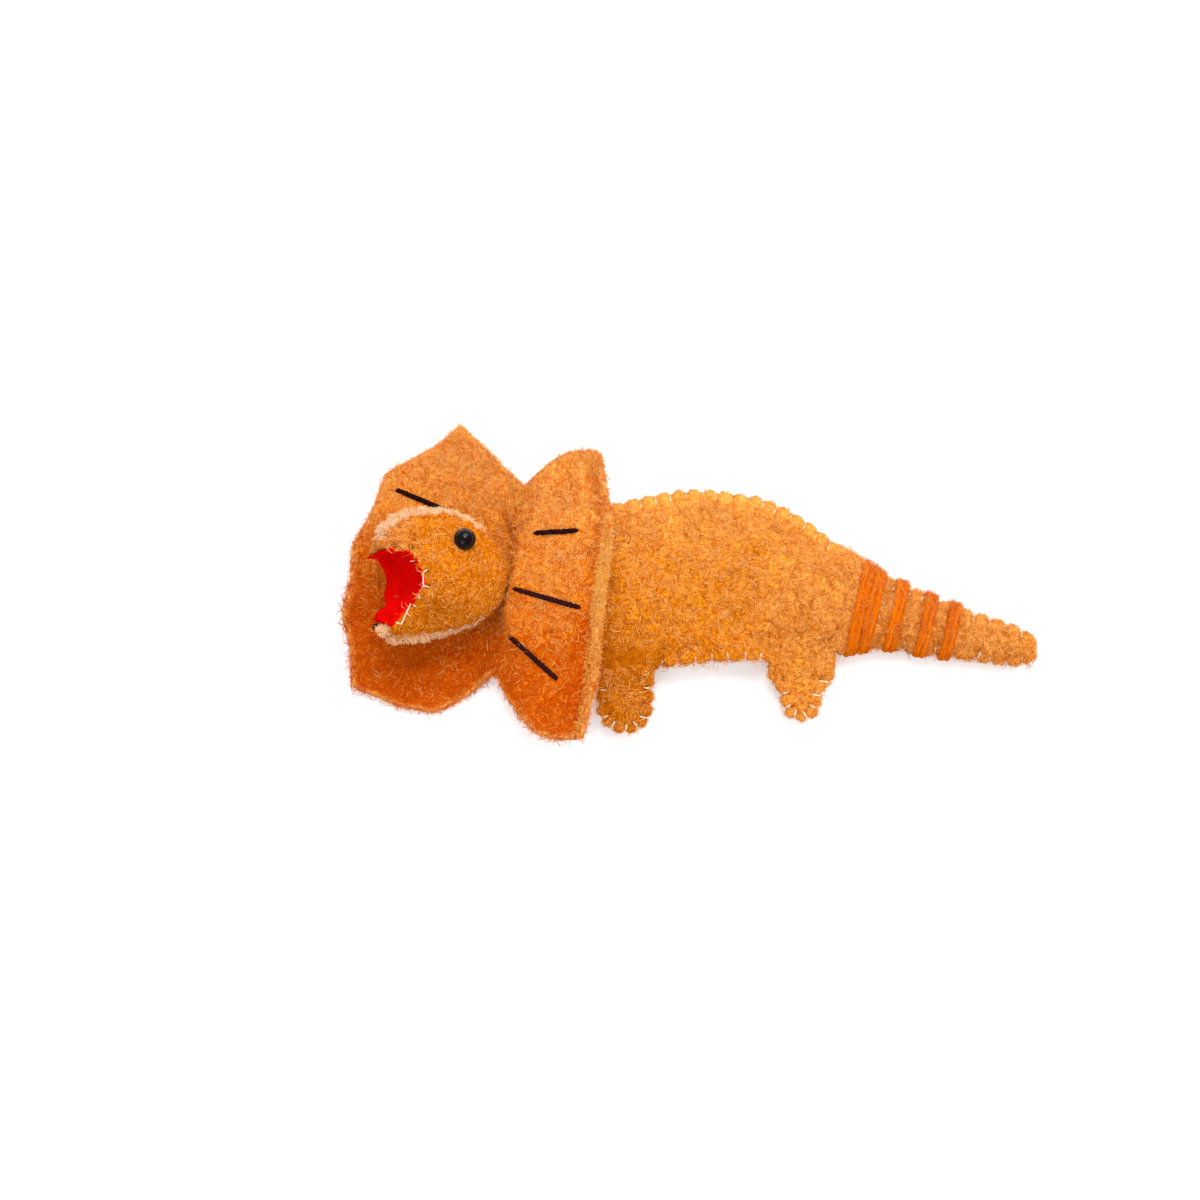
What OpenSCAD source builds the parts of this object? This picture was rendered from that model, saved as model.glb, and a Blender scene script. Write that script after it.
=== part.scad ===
// Felt finger puppet of a frill-necked lizard, lying on its far side.
// +X runs from the snout to the tip of the tail, +Y to the lizard's back and
// +Z to its near side. The origin is on the surface that the body lies on.
// Two felt panels are blanket stitched round the back and left open along the
// belly for a finger. The head and the tail are stuffed with wool.

/* [Felt] */
// Thickness of the wool felt
felt_t = 1.6; // [1.2:0.1:1.8]
// Thickness of the thin red felt in the mouth
lining_t = 1.2; // [0.8:0.1:1.5]
// Air between pieces that move past each other
clearance = 0.4; // [0.3:0.05:0.5]

/* [Thread] */
// Thickness of the cream sewing thread
thread_d = 0.45; // [0.3:0.05:0.6]
// Distance between two blanket stitches
stitch_pitch = 2.9; // [2.2:0.1:4]
// How far a stitch reaches in from the edge
stitch_bite = 2.2; // [1.5:0.1:2.8]
// Thickness of the dark thread of the frill's ribs
rib_d = 1.0; // [0.6:0.1:1.4]

/* [Body] */
// Length of the body panels, from the neck to the root of the tail
body_len = 54.6; // [50:0.2:60]
// Height of the back over the body's axis
back_h = 16.6; // [15:0.1:20]
// Room between the panels for a finger, with the puppet lying flat
pocket_gap = 5; // [4.8:0.1:6]
// Width of the panels at the neck
neck_end_h = 17.5; // [15:0.5:19]
// How far the belly rises between the legs
belly_rise = 0.5; // [0:0.1:3]

/* [Legs] */
// Depth of the front leg's root under the body's axis
front_root_y = 16; // [14:0.5:18]
// From the neck's end of the body to the middle of the front leg
front_leg_in = 15.1; // [14:0.1:17]
// Width of the front leg at its root
front_leg_w = 10.4; // [8:0.2:12]
// Width of the front leg's toe
front_toe_w = 10.2; // [6:0.2:12]
// Length of the front leg
front_leg_len = 11.5; // [9:0.5:14]
// Depth of the hind leg's root under the body's axis
hind_root_y = 14.4; // [12.5:0.1:16]
// From the tail's end of the body to the middle of the hind leg
hind_leg_in = 7.2; // [6.8:0.1:9.5]
// Width of the hind leg at its root
hind_leg_w = 12; // [10:0.2:14]
// Width of the hind leg's toe
hind_toe_w = 7.2; // [5:0.2:10]
// Length of the hind leg
hind_leg_len = 10.8; // [8:0.2:13]

/* [Tail] */
// Length of the tail
tail_len = 35.9; // [32:0.1:42]
// Height of the tail at its root
tail_root_h = 19.7; // [17:0.1:22]
// How far the tail's axis drops from its root to its tip
tail_drop = 9; // [5:0.1:11]
// Room for the stuffing at the root of the tail
tail_gap = 3.4; // [2.6:0.1:4]
// Place of the bend in the tail, from its root
tail_bend_x = 22.4; // [21:0.2:24]
// Thickness of the yarn wound round the tail
yarn_d = 2.1; // [1.6:0.1:2.4]
// Lean of the yarn bands, square to the tail's axis
band_lean = 12; // [5:1:18]

/* [Head] */
// Length of the head
head_len = 25.2; // [22:0.2:28]
// Height of the head from chin to crown
head_h = 24; // [21:0.2:27]
// Thickness of the stuffed head from cheek to cheek
head_t = 15.8; // [13:0.2:17]
// How far the face is turned to the near side
head_turn = 24; // [18:1:26]
// Depth of the mouth, from the lips to its corner
mouth_depth = 4.6; // [3:0.2:6]
// Size of the bead eyes
eye_d = 4; // [3:0.2:5]
// Hole through the bead
eye_hole_d = 0.9; // [0.6:0.1:1.4]

/* [Neck and frill] */
// Width of the rolled felt neck
neck_w = 9; // [7:0.2:10]
// Bare neck between the body and the fold of the frill
neck_show = 5.6; // [5:0.1:7]
// How far the neck is tucked in between the body panels
neck_tuck = 2.6; // [1.5:0.1:4]
// Lean of the fold between the frill's two lobes
fold_lean = 9; // [6:1:12]
// Length of the fold
fold_len = 35; // [30:0.5:36]
// Length of each lobe's outer edge
frill_len = 53; // [48:1:58]
// Depth of the near lobe, which is folded back over the shoulders
near_depth = 18.6; // [16:0.2:20]
// Depth of the far lobe, which lies under the head
far_depth = 30.1; // [26:0.1:32]
// Slope of the near lobe as it rises over the shoulders, in degrees
near_slope = 9.6; // [8:0.1:14]
// How far the near lobe's outer edge is turned up
rim_curl = 1.6; // [0:0.1:2.4]
// How far the far lobe's corners lift off the surface
corner_lift = 0.8; // [0:0.1:1.5]

/* [Hidden] */

FELT = "#D08A3E";
FRILL = "#CC7A2A";
YARN = "#D9660F";
WOOL = "#EFE4CF";
CREAM = "#F7E3C0";
RED = "#D8151C";
DARK = "#2E1216";
BEAD = "#111111";

ply_gap = 0.06;                    // air between two plies sewn face to face
rest_cut = felt_t / 8;             // felt pressed flat where the body rests
mid_z = pocket_gap / 2 + felt_t - rest_cut;
body_x0 = -body_len / 2;
body_x1 = body_len / 2;
front_leg_x = body_x0 + front_leg_in;
hind_leg_x = body_x1 - hind_leg_in;
front_x = [front_leg_x - front_leg_w / 2, front_leg_x + front_leg_w / 2];
hind_x = [hind_leg_x - hind_leg_w / 2, hind_leg_x + hind_leg_w / 2];
axis_y = -neck_end_h * 0.035;      // the neck's axis

// Heights of the back at equal steps from neck to tail, as shares of back_h
BACK = [0.502, 0.717, 0.85, 0.945, 1, 0.97, 0.893, 0.685, 0.383];

band_proud = yarn_d * 0.28;        // how far the yarn stands out of the felt
tail_tip_gap = felt_t / 2;         // room for the stuffing at the tail's tip
tail_tip_h = tail_root_h * 0.325;
// Places of the yarn bands between the tail's root and its bend
BANDS = [0.151, 0.451, 0.696, 0.895];
tail_y0 = back_h * BACK[8] - tail_root_h / 2;
// Drop of the tail's axis and its height at equal steps from root to tip
TAIL_AXIS = [0, 0.21, 0.449, 0.667, 0.857, 1];
TAIL_H = [1, 0.556, 0.383, 0.218, 0.135, 0];
root_round = felt_t * 2;           // rounding of a stuffed end at a bend

fold_x = body_x0 - neck_show;      // where the fold crosses the body's axis
head_x = fold_x - head_len * 0.502;
head_z = head_t / 2 + felt_t + 1.5;
// The head from the snout over the crown and the back round to the chin,
// as shares of half the head's length and height
HEAD = [
    [-1, 0.53], [-0.91, 0.80], [-0.63, 1.02], [-0.16, 1.08], [0.24, 1.03],
    [0.63, 0.79], [0.95, 0.42], [1, 0], [0.87, -0.38], [0.52, -0.63],
    [0, -0.82], [-0.48, -0.92], [-0.78, -0.91], [-0.94, -0.75]
];
// The near lip from the snout by the mouth's corner to the chin: share of the
// mouth's depth from its corner, and share of half the head's height
LIP = [[1.12, 0.42], [0.47, 0.42], [0, 0.025], [0.35, -0.35], [0.93, -0.70]];
// The far lip, which stands a little further out
FAR_LIP = [[1.4, 0.41], [0.82, 0.40], [0.2, 0.01], [0.6, -0.37], [1.15, -0.72]];
lip_x = -head_len * 0.234;         // the mouth's corner in the head
eye_at = [0.373, 0.63];              // along the outline, and out from the lip
eye_press = 0.4;                   // the far bead sits deeper: the head lies on it

neck_t = pocket_gap * 0.8 - 1.75 * clearance;
waist_z = [0.3, mid_z + neck_t / 2 + felt_t * 0.7];
lobe_z = waist_z[1] + clearance;   // underside of the near lobe at its fold
curl_w = felt_t * 1.6;             // width of the turned-up rim
// How far the lobes' belly side and back side edges swell, as shares of the fold
NEAR_BOW = [-0.135, 0.065];
FAR_BOW = [-0.03, 0.006];
// Outer edges of the lobes from belly side to back side, with their corners:
// share of half the edge's length, and share of the lobe's depth
NEAR_EDGE = [
    [-0.975, 0.94], [-0.592, 0.99], [-0.11, 0.935], [0.26, 0.91],
    [0.54, 0.88], [0.77, 0.772], [0.93, 0.69], [0.955, 0.6]
];
FAR_EDGE = [
    [-0.985, 0.338], [-0.98, 0.575], [-0.895, 0.87], [-0.642, 0.915],
    [-0.406, 1], [-0.161, 0.982], [0.075, 1], [0.318, 0.912],
    [0.602, 0.863], [0.845, 0.58], [1.01, 0.462]
];
// The three ribs of each lobe, from the fold outwards, as the same shares
NEAR_RIBS = [[[0.33, 0.183], [0.385, 0.575]], [[-0.057, 0.088], [-0.113, 0.706]],
             [[-0.38, 0.086], [-0.617, 0.585]]];
FAR_RIBS = [[[0.41, 0.40], [0.512, 0.755]], [[0.03, 0.487], [0.047, 0.855]],
            [[-0.31, 0.442], [-0.442, 0.782]]];

// ---------- shared functions ----------

function mix(a, b, t) = a + (b - a) * t;
function clamp(t) = min(max(t, 0), 1);
function steps(n) = [for (i = [0 : n]) i / n];
function last(a) = a[len(a) - 1];

// A smooth curve through points or numbers at equal steps of s, from 0 to 1
function spline(a, b, c, d, t) =
    0.5 * (2 * b + (c - a) * t + (2 * a - 5 * b + 4 * c - d) * t * t
        + (3 * b - a - 3 * c + d) * t * t * t);
function curve(p, s) =
    let (n = len(p) - 1, x = clamp(s) * n, i = min(floor(x), n - 1))
    spline(p[max(i - 1, 0)], p[i], p[i + 1], p[min(i + 2, n)], x - i);

// The height of a sewn pillow across its width u: flat inside, shut at both
// edges, and fuller with a larger power
function pillow(u, power) = 1 - pow(abs(2 * u - 1), power);

// Points at equal distances along a polyline, each with its heading
function run(p, i = 0, sum = 0) =
    i == len(p) - 1 ? [sum] : concat([sum], run(p, i + 1, sum + norm(p[i + 1] - p[i])));
function spot(p, sums, d, i = 0) =
    i < len(p) - 2 && sums[i + 1] < d ? spot(p, sums, d, i + 1)
    : let (v = p[i + 1] - p[i], f = (d - sums[i]) / (sums[i + 1] - sums[i]))
      [p[i] + v * f, atan2(v[1], v[0])];
function spots(p, pitch) =
    let (sums = run(p), n = max(1, round(last(sums) / pitch)))
    [for (k = [0 : n - 1]) spot(p, sums, (k + 0.5) * last(sums) / n)];

// A grid's normals, from the neighbours of each point
function normals(g) =
    let (n = len(g) - 1, m = len(g[0]) - 1)
    [for (i = [0 : n]) [for (j = [0 : m])
        let (a = g[min(i + 1, n)][j] - g[max(i - 1, 0)][j],
             b = g[i][min(j + 1, m)] - g[i][max(j - 1, 0)],
             c = cross(a, b))
        c / norm(c)]];
function thicken(g, t) =
    let (n = normals(g))
    [for (i = [0 : len(g) - 1]) [for (j = [0 : len(g[0]) - 1]) g[i][j] + n[i][j] * t]];

// The solid between an upper and a lower grid of points
module slab(top, bottom) {
    n = len(top);
    m = len(top[0]);
    points = [for (g = [top, bottom]) for (row = g) for (p = row) p];
    function a(i, j) = i * m + j;
    function b(i, j) = n * m + i * m + j;
    function two(p, q, r, s) = [[p, q, r], [p, r, s]];
    faces = [
        for (i = [0 : n - 2]) for (j = [0 : m - 2])
            each two(a(i, j), a(i, j + 1), a(i + 1, j + 1), a(i + 1, j)),
        for (i = [0 : n - 2]) for (j = [0 : m - 2])
            each two(b(i, j), b(i + 1, j), b(i + 1, j + 1), b(i, j + 1)),
        for (i = [0 : n - 2])
            each two(a(i, 0), a(i + 1, 0), b(i + 1, 0), b(i, 0)),
        for (i = [0 : n - 2])
            each two(a(i + 1, m - 1), a(i, m - 1), b(i, m - 1), b(i + 1, m - 1)),
        for (j = [0 : m - 2])
            each two(a(0, j + 1), a(0, j), b(0, j), b(0, j + 1)),
        for (j = [0 : m - 2])
            each two(a(n - 1, j), a(n - 1, j + 1), b(n - 1, j + 1), b(n - 1, j))
    ];
    polyhedron(points, faces);
}

// A round bar between two points. Its round ends are a little slimmer.
module bar(p, q, d) {
    v = q - p;
    translate(p) {
        sphere(d = d * 0.94, $fn = 24);
        rotate([0, acos(v[2] / norm(v)), atan2(v[1], v[0])])
            cylinder(d = d, h = norm(v), $fn = 24);
    }
    translate(q) sphere(d = d * 0.94, $fn = 24);
}

// One blanket stitch: over the edge at p and back into the felt on both
// faces, which are 2 * half apart. It points along the heading.
module stitch(p, heading, half, bite = stitch_bite) {
    translate(p) rotate([0, 0, heading]) rotate([90, 0, 0])
        linear_extrude(thread_d, center = true) difference() {
            translate([-thread_d, -half - thread_d])
                square([bite + thread_d, 2 * (half + thread_d)]);
            translate([0, -half]) square([bite + 1, 2 * half]);
        }
}

// Blanket stitches along an edge; turn is +90 where the felt is on the left
module seam(edge, turn, half, bite = stitch_bite) {
    for (s = spots(edge, stitch_pitch)) stitch(s[0], s[1] + turn, half, bite);
}

sew_half = felt_t - 0.2;           // stitches pull a little into two plies
hem_half = felt_t / 2 - thread_d;  // and lie flush in one

// Mirrors a near-side piece to the far side of the plane at height z
module far_side(z) {
    translate([0, 0, 2 * z]) mirror([0, 0, 1]) children();
}

// ---------- body ----------

function back_y(x) = back_h * curve(BACK, (x - body_x0) / body_len);
throat_y = back_h * BACK[0] - neck_end_h;
belly_end_y = tail_y0 - tail_root_h / 2;
function belly_y(x) =
    x < front_x[0] ? mix(throat_y, -front_root_y,
                         sin(90 * clamp((x - body_x0) / (front_x[0] - body_x0))))
    : x <= front_x[1] ? -front_root_y
    : x < hind_x[0] ? let (v = (x - front_x[1]) / (hind_x[0] - front_x[1]))
        mix(-front_root_y, -hind_root_y, v) + belly_rise * sin(180 * v)
    : x <= hind_x[1] ? -hind_root_y
    : mix(-hind_root_y, belly_end_y, (x - hind_x[1]) / (body_x1 - hind_x[1]));

// Half the gap between the panels: less at the neck and at the tail, and
// held open along the belly between the legs
function half_gap(x) =
    pocket_gap / 2 * mix(0.8, 1, clamp((x - body_x0) / 7))
        * mix(0.75, 1, clamp((body_x1 - x) / 9));
function belly_open(x) =
    let (v = (x - front_x[1]) / (hind_x[0] - front_x[1]))
    v <= 0 || v >= 1 ? 0 : min(1, 2.6 * sin(180 * v));
lip_open = 0.88;                   // the opening's lips draw in a little
function torso_gap(x, u) =
    let (c = pillow(u, 3.2))
    half_gap(x) * (u < 0.5 ? mix(c, max(c, lip_open), belly_open(x)) : c);

body_xs = concat(
    [for (t = steps(4)) mix(body_x0, front_x[0], t)],
    [for (t = [0.34, 0.67, 1]) mix(front_x[0], front_x[1], t)],
    [for (t = [0.05, 0.13, 0.25, 0.38, 0.5, 0.62, 0.75, 0.87, 0.95, 1])
        mix(front_x[1], hind_x[0], t)],
    [for (t = [0.34, 0.67, 1]) mix(hind_x[0], hind_x[1], t)],
    [body_x1]
);
body_us = [0, 0.05, 0.12, 0.22, 0.35, 0.5, 0.65, 0.78, 0.88, 0.95, 1];

function torso_grid(lift) =
    [for (x = body_xs) [for (u = body_us)
        [x, mix(belly_y(x), back_y(x), u), mid_z + torso_gap(x, u) + lift]]];

module torso_near() {
    color(FELT) slab(torso_grid(felt_t), torso_grid(ply_gap / 2));
}

// The far panel is pressed flat where the puppet lies on it
module torso_far() {
    color(FELT) difference() {
        far_side(mid_z) slab(torso_grid(felt_t), torso_grid(ply_gap / 2));
        translate([body_x0 - 1, -front_root_y - 1, -2])
            cube([body_len + 2, back_h + front_root_y + 2, 2]);
    }
}

function torso_edge(xs, edge_y) = [for (x = xs) [x, edge_y(x), mid_z]];

module back_seam_thread() {
    xs = [for (t = steps(24)) mix(body_x0 + 3, body_x1 - 0.6, t)];
    color(CREAM) seam(torso_edge(xs, function (x) back_y(x)), -90, sew_half);
}

module chest_seam_thread() {
    chest = [for (t = steps(6)) mix(body_x0 + 3, front_x[0] - 0.4, t)];
    groin = [hind_x[1] + 0.3, body_x1];
    color(CREAM) {
        seam(torso_edge(chest, function (x) belly_y(x)), 90, sew_half);
        seam(torso_edge(groin, function (x) belly_y(x)), 90, sew_half);
    }
}

// Each panel's edge at the finger opening is hemmed by itself
module opening_hem() {
    edge = [for (t = steps(20)) let (x = mix(front_x[1] + 0.4, hind_x[0] - 0.4, t))
        [x, belly_y(x), mid_z + torso_gap(x, 0) + felt_t / 2]];
    seam(edge, 90, hem_half, stitch_bite * 0.8);
}

module opening_hem_near_thread() {
    color(CREAM) opening_hem();
}

module opening_hem_far_thread() {
    color(CREAM) far_side(mid_z) opening_hem();
}

// ---------- legs ----------

// A leg is [middle of its root, root width, toe width, length]
front_leg = [[front_leg_x, -front_root_y - clearance], front_leg_w, front_toe_w,
             front_leg_len];
hind_leg = [[hind_leg_x, -hind_root_y - clearance], hind_leg_w, hind_toe_w,
            hind_leg_len];
function leg_outline(leg) =
    let (r = leg[2] / 2)
    concat(
        [leg[0] + [leg[1] / 2, 0], leg[0] - [leg[1] / 2, 0]],
        [for (a = [180 : 15 : 360]) leg[0] + [r * cos(a), r - leg[3] + r * sin(a)]]
    );

// Felt leg ply, its root rounded about the line where it flaps
module leg_ply(leg) {
    fold_y = leg[0][1] - felt_t;
    intersection() {
        translate([0, 0, mid_z + ply_gap / 2])
            linear_extrude(felt_t - ply_gap / 2) polygon(leg_outline(leg));
        union() {
            translate([leg[0][0], fold_y, mid_z]) rotate([0, 90, 0])
                cylinder(r = felt_t, h = leg[1] + 2, center = true, $fn = 48);
            translate([leg[0][0] - leg[1], fold_y - leg[3], mid_z])
                cube([2 * leg[1], leg[3], felt_t]);
        }
    }
}

module leg_thread(leg) {
    outline = leg_outline(leg);
    edge = [for (i = [1 : len(outline) - 1]) [each outline[i], mid_z], [each outline[0], mid_z]];
    turned = [for (i = [0 : len(edge) - 1])
        i == 0 ? mix(edge[0], edge[1], 0.3)
        : i == len(edge) - 1 ? mix(edge[i - 1], edge[i], 0.7) : edge[i]];
    seam(turned, 90, sew_half);
}

module front_leg_near() {
    color(FELT) leg_ply(front_leg);
}

module front_leg_far() {
    color(FELT) far_side(mid_z) leg_ply(front_leg);
}

module front_leg_thread() {
    color(CREAM) leg_thread(front_leg);
}

module hind_leg_near() {
    color(FELT) leg_ply(hind_leg);
}

module hind_leg_far() {
    color(FELT) far_side(mid_z) leg_ply(hind_leg);
}

module hind_leg_thread() {
    color(CREAM) leg_thread(hind_leg);
}

// ---------- tail ----------

tail_x0 = body_x1 + clearance;
tail_split = body_x1 + tail_bend_x;
tail_x1 = body_x1 + tail_len;
function tail_at(x) = (x - body_x1) / tail_len;
function tail_y(x) = tail_y0 - tail_drop * curve(TAIL_AXIS, tail_at(x));
function tail_half_h(x) = mix(tail_tip_h, tail_root_h, curve(TAIL_H, tail_at(x))) / 2;
function tail_half_gap(x) = mix(tail_gap, tail_tip_gap, tail_at(x)) / 2;
function tail_z(x) = tail_half_gap(x) + felt_t + band_proud;
function rounded(d) = d >= root_round ? 1 : sqrt(1 - pow(1 - d / root_round, 2));

// A grid over one stretch of the tail: x0 is its rounded end at a bend, and
// tip rounds its other end
function tail_grid(x0, x1, lift, share = 1, tip = 0) =
    [for (s = [0, 0.03, 0.08, 0.16, 0.28, 0.42, 0.56, 0.7, 0.85, 1])
        [for (u = [0, 0.1, 0.25, 0.5, 0.75, 0.9, 1])
            let (x = mix(x0, x1, s), v = 2 * u - 1)
            [x + tip * pow(s, 6) * (1 - v * v),
             tail_y(x) + tail_half_h(x) * v * share,
             tail_half_gap(x) * pillow(u, 2.4) * rounded(x - x0) * share + lift]]];

// The felt rises with the tail's middle plane, which sinks towards the tip
function on_tail(grid, side) =
    [for (row = grid) [for (p = row) [p[0], p[1], tail_z(p[0]) + side * p[2]]]];

module tail_ply(x0, x1, side, tip = 0) {
    outer = on_tail(tail_grid(x0, x1, felt_t, tip = tip), side);
    inner = on_tail(tail_grid(x0, x1, ply_gap / 2, tip = tip), side);
    if (side > 0) slab(outer, inner);
    else slab(inner, outer);
}

module tail_wool(x0, x1) {
    stuffing = tail_grid(x0 + felt_t / 3, x1 - felt_t / 3, ply_gap, 0.78);
    slab(on_tail(stuffing, 1), on_tail(stuffing, -1));
}

module tail_thread(x0, x1) {
    xs = [for (t = steps(8)) mix(x0, x1, t)];
    seam([for (x = xs) [x, tail_y(x) + tail_half_h(x), tail_z(x)]], -90, sew_half);
    seam([for (x = xs) [x, tail_y(x) - tail_half_h(x), tail_z(x)]], 90, sew_half);
}

// One turn of yarn round the tail, pressed into the felt
module yarn_turn(along) {
    xc = body_x1 + along;
    r = yarn_d / 2;
    lean = tan(band_lean) * tail_half_h(xc);
    function bend(v) = sign(v) * pow(abs(v), 0.8);
    path = [for (k = [0 : 23])
        let (c = bend(cos(k * 15)), s = bend(sin(k * 15)),
             x = xc + lean * c, out = band_proud - r)
        [x, tail_y(x) + (tail_half_h(x) + out + 0.3) * c,
         tail_z(x) + (tail_half_gap(x) + felt_t + out) * s]];
    points = [for (k = [0 : 23]) for (a = [0 : 7])
        let (t = path[(k + 1) % 24] - path[(k + 23) % 24],
             side = [cos(band_lean), -sin(band_lean), 0],
             up = cross(t / norm(t), side))
        path[k] + r * (side * cos(a * 45) + up * sin(a * 45))];
    faces = [for (k = [0 : 23]) for (a = [0 : 7])
        let (b = (a + 1) % 8, n = (k + 1) % 24)
        each [[k * 8 + b, k * 8 + a, n * 8 + b], [n * 8 + b, k * 8 + a, n * 8 + a]]];
    polyhedron(points, faces);
}

module tail_base_near() {
    color(FELT) tail_ply(tail_x0, tail_split, 1);
}

module tail_base_far() {
    color(FELT) tail_ply(tail_x0, tail_split, -1);
}

module tail_base_wool() {
    color(WOOL) tail_wool(tail_x0, tail_split);
}

// The bands cover most of the seam, so its stitches show between them
module tail_base_thread() {
    color(CREAM) tail_thread(tail_x0 + 6.5, tail_split - 0.4);
}

// The first band is two turns side by side, clear of the body
module tail_band_1() {
    first = max(BANDS[0] * tail_bend_x,
                clearance + yarn_d / 2 + tan(band_lean) * tail_root_h / 2);
    color(YARN) {
        yarn_turn(first);
        yarn_turn(first + yarn_d + ply_gap);
    }
}

module tail_band_2() {
    color(YARN) yarn_turn(BANDS[1] * tail_bend_x);
}

module tail_band_3() {
    color(YARN) yarn_turn(BANDS[2] * tail_bend_x);
}

module tail_band_4() {
    color(YARN) yarn_turn(BANDS[3] * tail_bend_x);
}

module tail_tip_near() {
    color(FELT) tail_ply(tail_split + clearance, tail_x1 - 1, 1, 1);
}

module tail_tip_far() {
    color(FELT) tail_ply(tail_split + clearance, tail_x1 - 1, -1, 1);
}

module tail_tip_wool() {
    color(WOOL) tail_wool(tail_split + clearance, tail_x1 - 2);
}

module tail_tip_thread() {
    color(CREAM) tail_thread(tail_split + clearance + 0.5, tail_x1 - 1);
}

// ---------- head, in its own frame with the seam in the XY plane ----------

module on_head() {
    translate([head_x, 0, head_z]) rotate([0, head_turn, 0]) children();
}

head_half = [head_len / 2, head_h / 2];
function head_edge(s) =
    let (p = curve(HEAD, s)) [p[0] * head_half[0], p[1] * head_half[1]];
function lip(s, side = 1) =
    let (p = curve(side > 0 ? LIP : FAR_LIP, s))
    [lip_x - mouth_depth * p[0], p[1] * head_half[1]];
function reach2(p) = pow(p[0] / head_half[0], 2) + pow(p[1] / head_half[1], 2);

// Head's surface: s runs along the lip and the outline, and u from one to
// the other. The cheek is domed like an ellipsoid. inset shrinks the head.
function head_point(s, u, inset = 0, side = 1) =
    let (edge = head_edge(s) * (1 - inset / head_half[1]),
         p = mix(lip(s, side) + [inset, 0], edge, u),
         f = reach2(p) / reach2(edge))
    [p[0], p[1], (head_t / 2 - inset) * sqrt(max(1 - f, 0.0004))];
head_us = [0, 0.2, 0.4, 0.6, 0.78, 0.9, 0.97, 1];
function head_grid(inset = 0, side = 1) =
    [for (s = steps(26)) [for (u = head_us) head_point(s, u, inset, side)]];
function above(g, z) =
    [for (row = g) [for (p = row) [p[0], p[1], max(p[2], z)]]];
function below(g) =
    [for (row = g) [for (p = row) [p[0], p[1], -p[2]]]];

module cheek(side) {
    outer = above(head_grid(0, side), ply_gap / 2);
    slab(outer, above(thicken(outer, -felt_t), ply_gap / 2));
}

module cheek_near() {
    color(FELT) on_head() cheek(1);
}

module cheek_far() {
    color(FELT) on_head() far_side(0) cheek(-1);
}

module head_wool() {
    inset = felt_t + 0.1;
    color(WOOL) on_head() slab(head_grid(inset), below(head_grid(inset, -1)));
}

// Red felt folded at the mouth's corners and sewn to both lips
module mouth_lining() {
    function inner(s, side) =
        let (p = head_point(s, 0, 0, side)) [p[0] + 0.15, p[1], side * (p[2] - felt_t + 0.1)];
    front = [for (s = steps(12))
        [for (v = steps(4)) mix(inner(s, 1), inner(s, -1), v)]];
    color(RED) on_head() slab(thicken(front, lining_t), front);
}

// Short stitches over the lip, from the cheek into the lining
module lip_thread(side) {
    edge = [for (s = steps(24)) let (p = head_point(mix(0.02, 0.98, s), 0, 0, side))
        [p[0], p[1], p[2] - felt_t / 2]];
    for (s = spots(edge, stitch_pitch * 0.75))
        stitch(s[0], s[1] + 90, hem_half, stitch_bite * 0.5);
}

module mouth_near_thread() {
    color(CREAM) on_head() lip_thread(1);
}

module mouth_far_thread() {
    color(CREAM) on_head() far_side(0) lip_thread(-1);
}

module head_seam(s0, s1) {
    edge = [for (t = steps(20)) [each head_edge(mix(s0, s1, t)), 0]];
    color(CREAM) on_head() seam(edge, -90, sew_half - 0.2, stitch_bite * 0.7);
}

module crown_seam_thread() {
    head_seam(0.02, 0.5);
}

module chin_seam_thread() {
    head_seam(0.62, 0.98);
}

eye_p = head_point(eye_at[0], eye_at[1]);
eye_sink = eye_d * 0.36;
eye_z = eye_p[2] + eye_d / 2 - eye_sink;

module bead() {
    translate([eye_p[0], eye_p[1], eye_z]) difference() {
        sphere(d = eye_d, $fn = 48);
        cylinder(d = eye_hole_d, h = 2 * eye_d, center = true, $fn = 24);
    }
}

module eye_near() {
    color(BEAD) on_head() bead();
}

module eye_far() {
    color(BEAD) on_head() far_side(0) translate([0, 0, -eye_press]) bead();
}

// One thread through both beads and the head, knotted outside each bead
module eye_thread() {
    end = eye_z + eye_d / 2 - 0.1;
    color(DARK) on_head() translate([eye_p[0], eye_p[1], 0]) {
        translate([0, 0, eye_press - end]) cylinder(d = thread_d, h = 2 * end - eye_press, $fn = 24);
        for (z = [eye_press - end, end]) translate([0, 0, z]) sphere(d = eye_hole_d + 0.2, $fn = 24);
    }
}

// ---------- neck and frill ----------

// The fold's frame: +Y along the fold, +X outwards over the shoulders
module on_fold() {
    translate([fold_x, 0, 0]) rotate([0, 0, -fold_lean]) children();
}

neck_x0 = fold_x - felt_t * 0.8;
function neck_section(extra) =
    [for (a = [0 : 15 : 345]) [(neck_t / 2 + extra) * cos(a), (neck_w / 2 + extra) * sin(a)]];

module neck_bar(extra, x0, x1) {
    translate([x0, axis_y, mid_z]) rotate([0, 90, 0])
        linear_extrude(x1 - x0) polygon(neck_section(extra));
}

module neck_roll() {
    color(FELT) neck_bar(0, neck_x0, body_x0 + neck_tuck);
}

// The frill's felt at its fold, standing round the neck
module frill_waist() {
    color(FRILL) difference() {
        on_fold() translate([-0.5, -fold_len / 2, waist_z[0]])
            cube([felt_t, fold_len, waist_z[1] - waist_z[0]]);
        neck_bar(ply_gap, neck_x0 - felt_t, fold_x + 2 * felt_t);
    }
}

// Stitches that hold the frill to the neck on its near and far sides
module frill_seam_thread() {
    color(CREAM) for (side = [-1, 1]) for (y = [-2.4, 0, 2.4])
        bar([fold_x + felt_t, axis_y + y, mid_z + side * neck_t * 0.42],
            [fold_x + 0.2, axis_y + y, mid_z + side * (neck_t / 2 + 0.7)], thread_d);
}

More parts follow.
